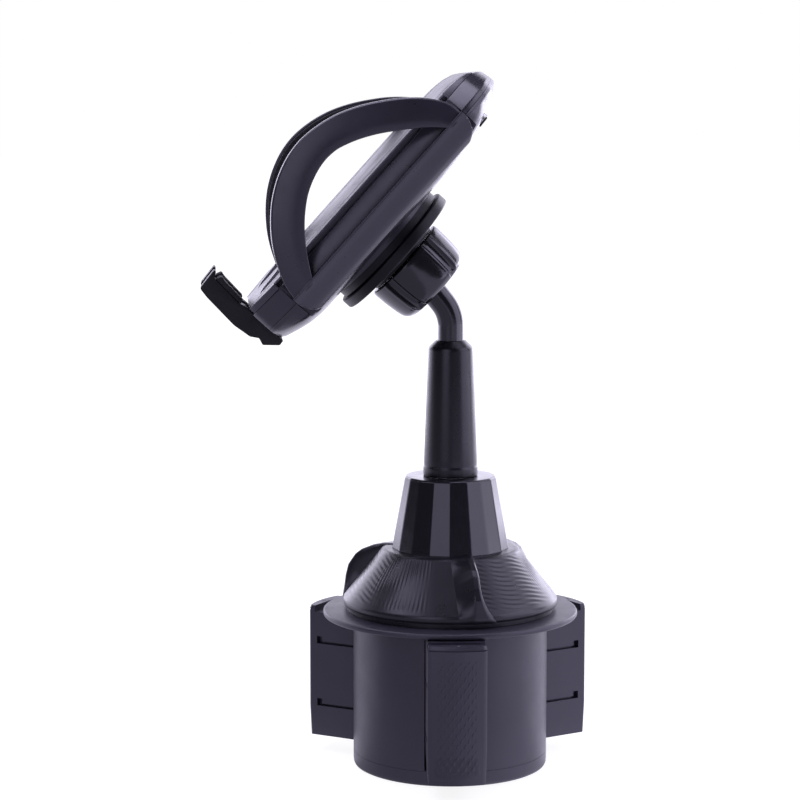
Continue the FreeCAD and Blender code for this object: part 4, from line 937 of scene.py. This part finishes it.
towards = math.radians(-5.5)            # azimuth of the camera
view_dir = np.array([math.cos(towards), math.sin(towards), 0.0])
right_dir = np.cross(-view_dir, [0, 0, 1.0])
TINT = (0.86, 0.83, 1.0)


def softbox(name, azimuth, height, distance, wide, tall, glow, aim=(0, 0, 0.12)):
    """An area light at an azimuth measured from the camera, to the right; glow is its brightness."""
    a = math.radians(azimuth)
    way = view_dir * math.cos(a) + right_dir * math.sin(a)
    light = bpy.data.lights.new(name, "AREA")
    light.shape, light.size, light.size_y, light.color = "RECTANGLE", wide, tall, TINT
    light.energy = glow * math.pi * wide * tall
    obj = bpy.data.objects.new(name, light)
    obj.location = tuple(way * distance + np.array([0, 0, height]))
    obj.rotation_euler = (Vector(aim) - obj.location).to_track_quat("-Z", "Y").to_euler()
    obj.visible_camera = False
    bpy.context.scene.collection.objects.link(obj)


# wedges of glowing floor that only light the object: azimuths as for the softboxes
for name, start, stop, glow in (("front_left", -90, 8, 0.72), ("front_right", 8, 95, 1.35),
                                ("back_right", 95, 180, 2.0), ("back_left", 180, 270, 1.4)):
    rays = [math.radians(start + (stop - start) * k / 2) for k in range(3)]
    rim = [4.0 * (view_dir * math.cos(a) + right_dir * math.sin(a)) for a in rays]
    bounce = sheet("bounce_" + name, [(0, 0, -0.001)] + [(x, y, -0.001) for x, y, z in rim],
                   plain("bounce_paper_" + name, BLACK, glow, TINT))
    bounce.visible_camera = bounce.visible_shadow = False

softbox("side_right", 80, 0.30, 1.0, 1.0, 1.2, 2.7)
softbox("rim_right", 138, 0.30, 1.2, 0.8, 1.4, 3.4)
softbox("side_left", -132, 0.22, 1.0, 0.9, 0.8, 2.0)
softbox("backdrop_glow", 180, 0.35, 1.5, 2.2, 1.1, 2.2)
softbox("fill_left", -24, 0.60, 1.4, 0.8, 1.1, 1.8)
softbox("left_high", -68, 1.15, 0.95, 0.6, 0.9, 2.2, (0, 0, 0.2))
softbox("right_high", 85, 1.15, 0.8, 0.9, 0.9, 1.6)
softbox("left_top", -112, 1.40, 0.36, 0.9, 1.25, 5.0)

camera_data = bpy.data.cameras.new("camera")
camera_data.sensor_width, camera_data.lens = 36.0, 112.5
camera = bpy.data.objects.new("camera", camera_data)
yaw, pitch = 0.0204, 0.1231             # how far the camera looks to its left, and down
distance, height = 0.837414, 0.228565
forward = -view_dir * math.cos(yaw) - right_dir * math.sin(yaw)
right = right_dir * math.cos(yaw) - view_dir * math.sin(yaw)
forward = forward * math.cos(pitch) - np.array([0, 0, 1.0]) * math.sin(pitch)
up = np.cross(right, forward)
place = view_dir * distance + np.array([0, 0, height])
camera.matrix_world = Matrix([[right[k], up[k], -forward[k], place[k]] for k in range(3)] + [[0, 0, 0, 1]])
bpy.context.scene.collection.objects.link(camera)
bpy.context.scene.camera = camera
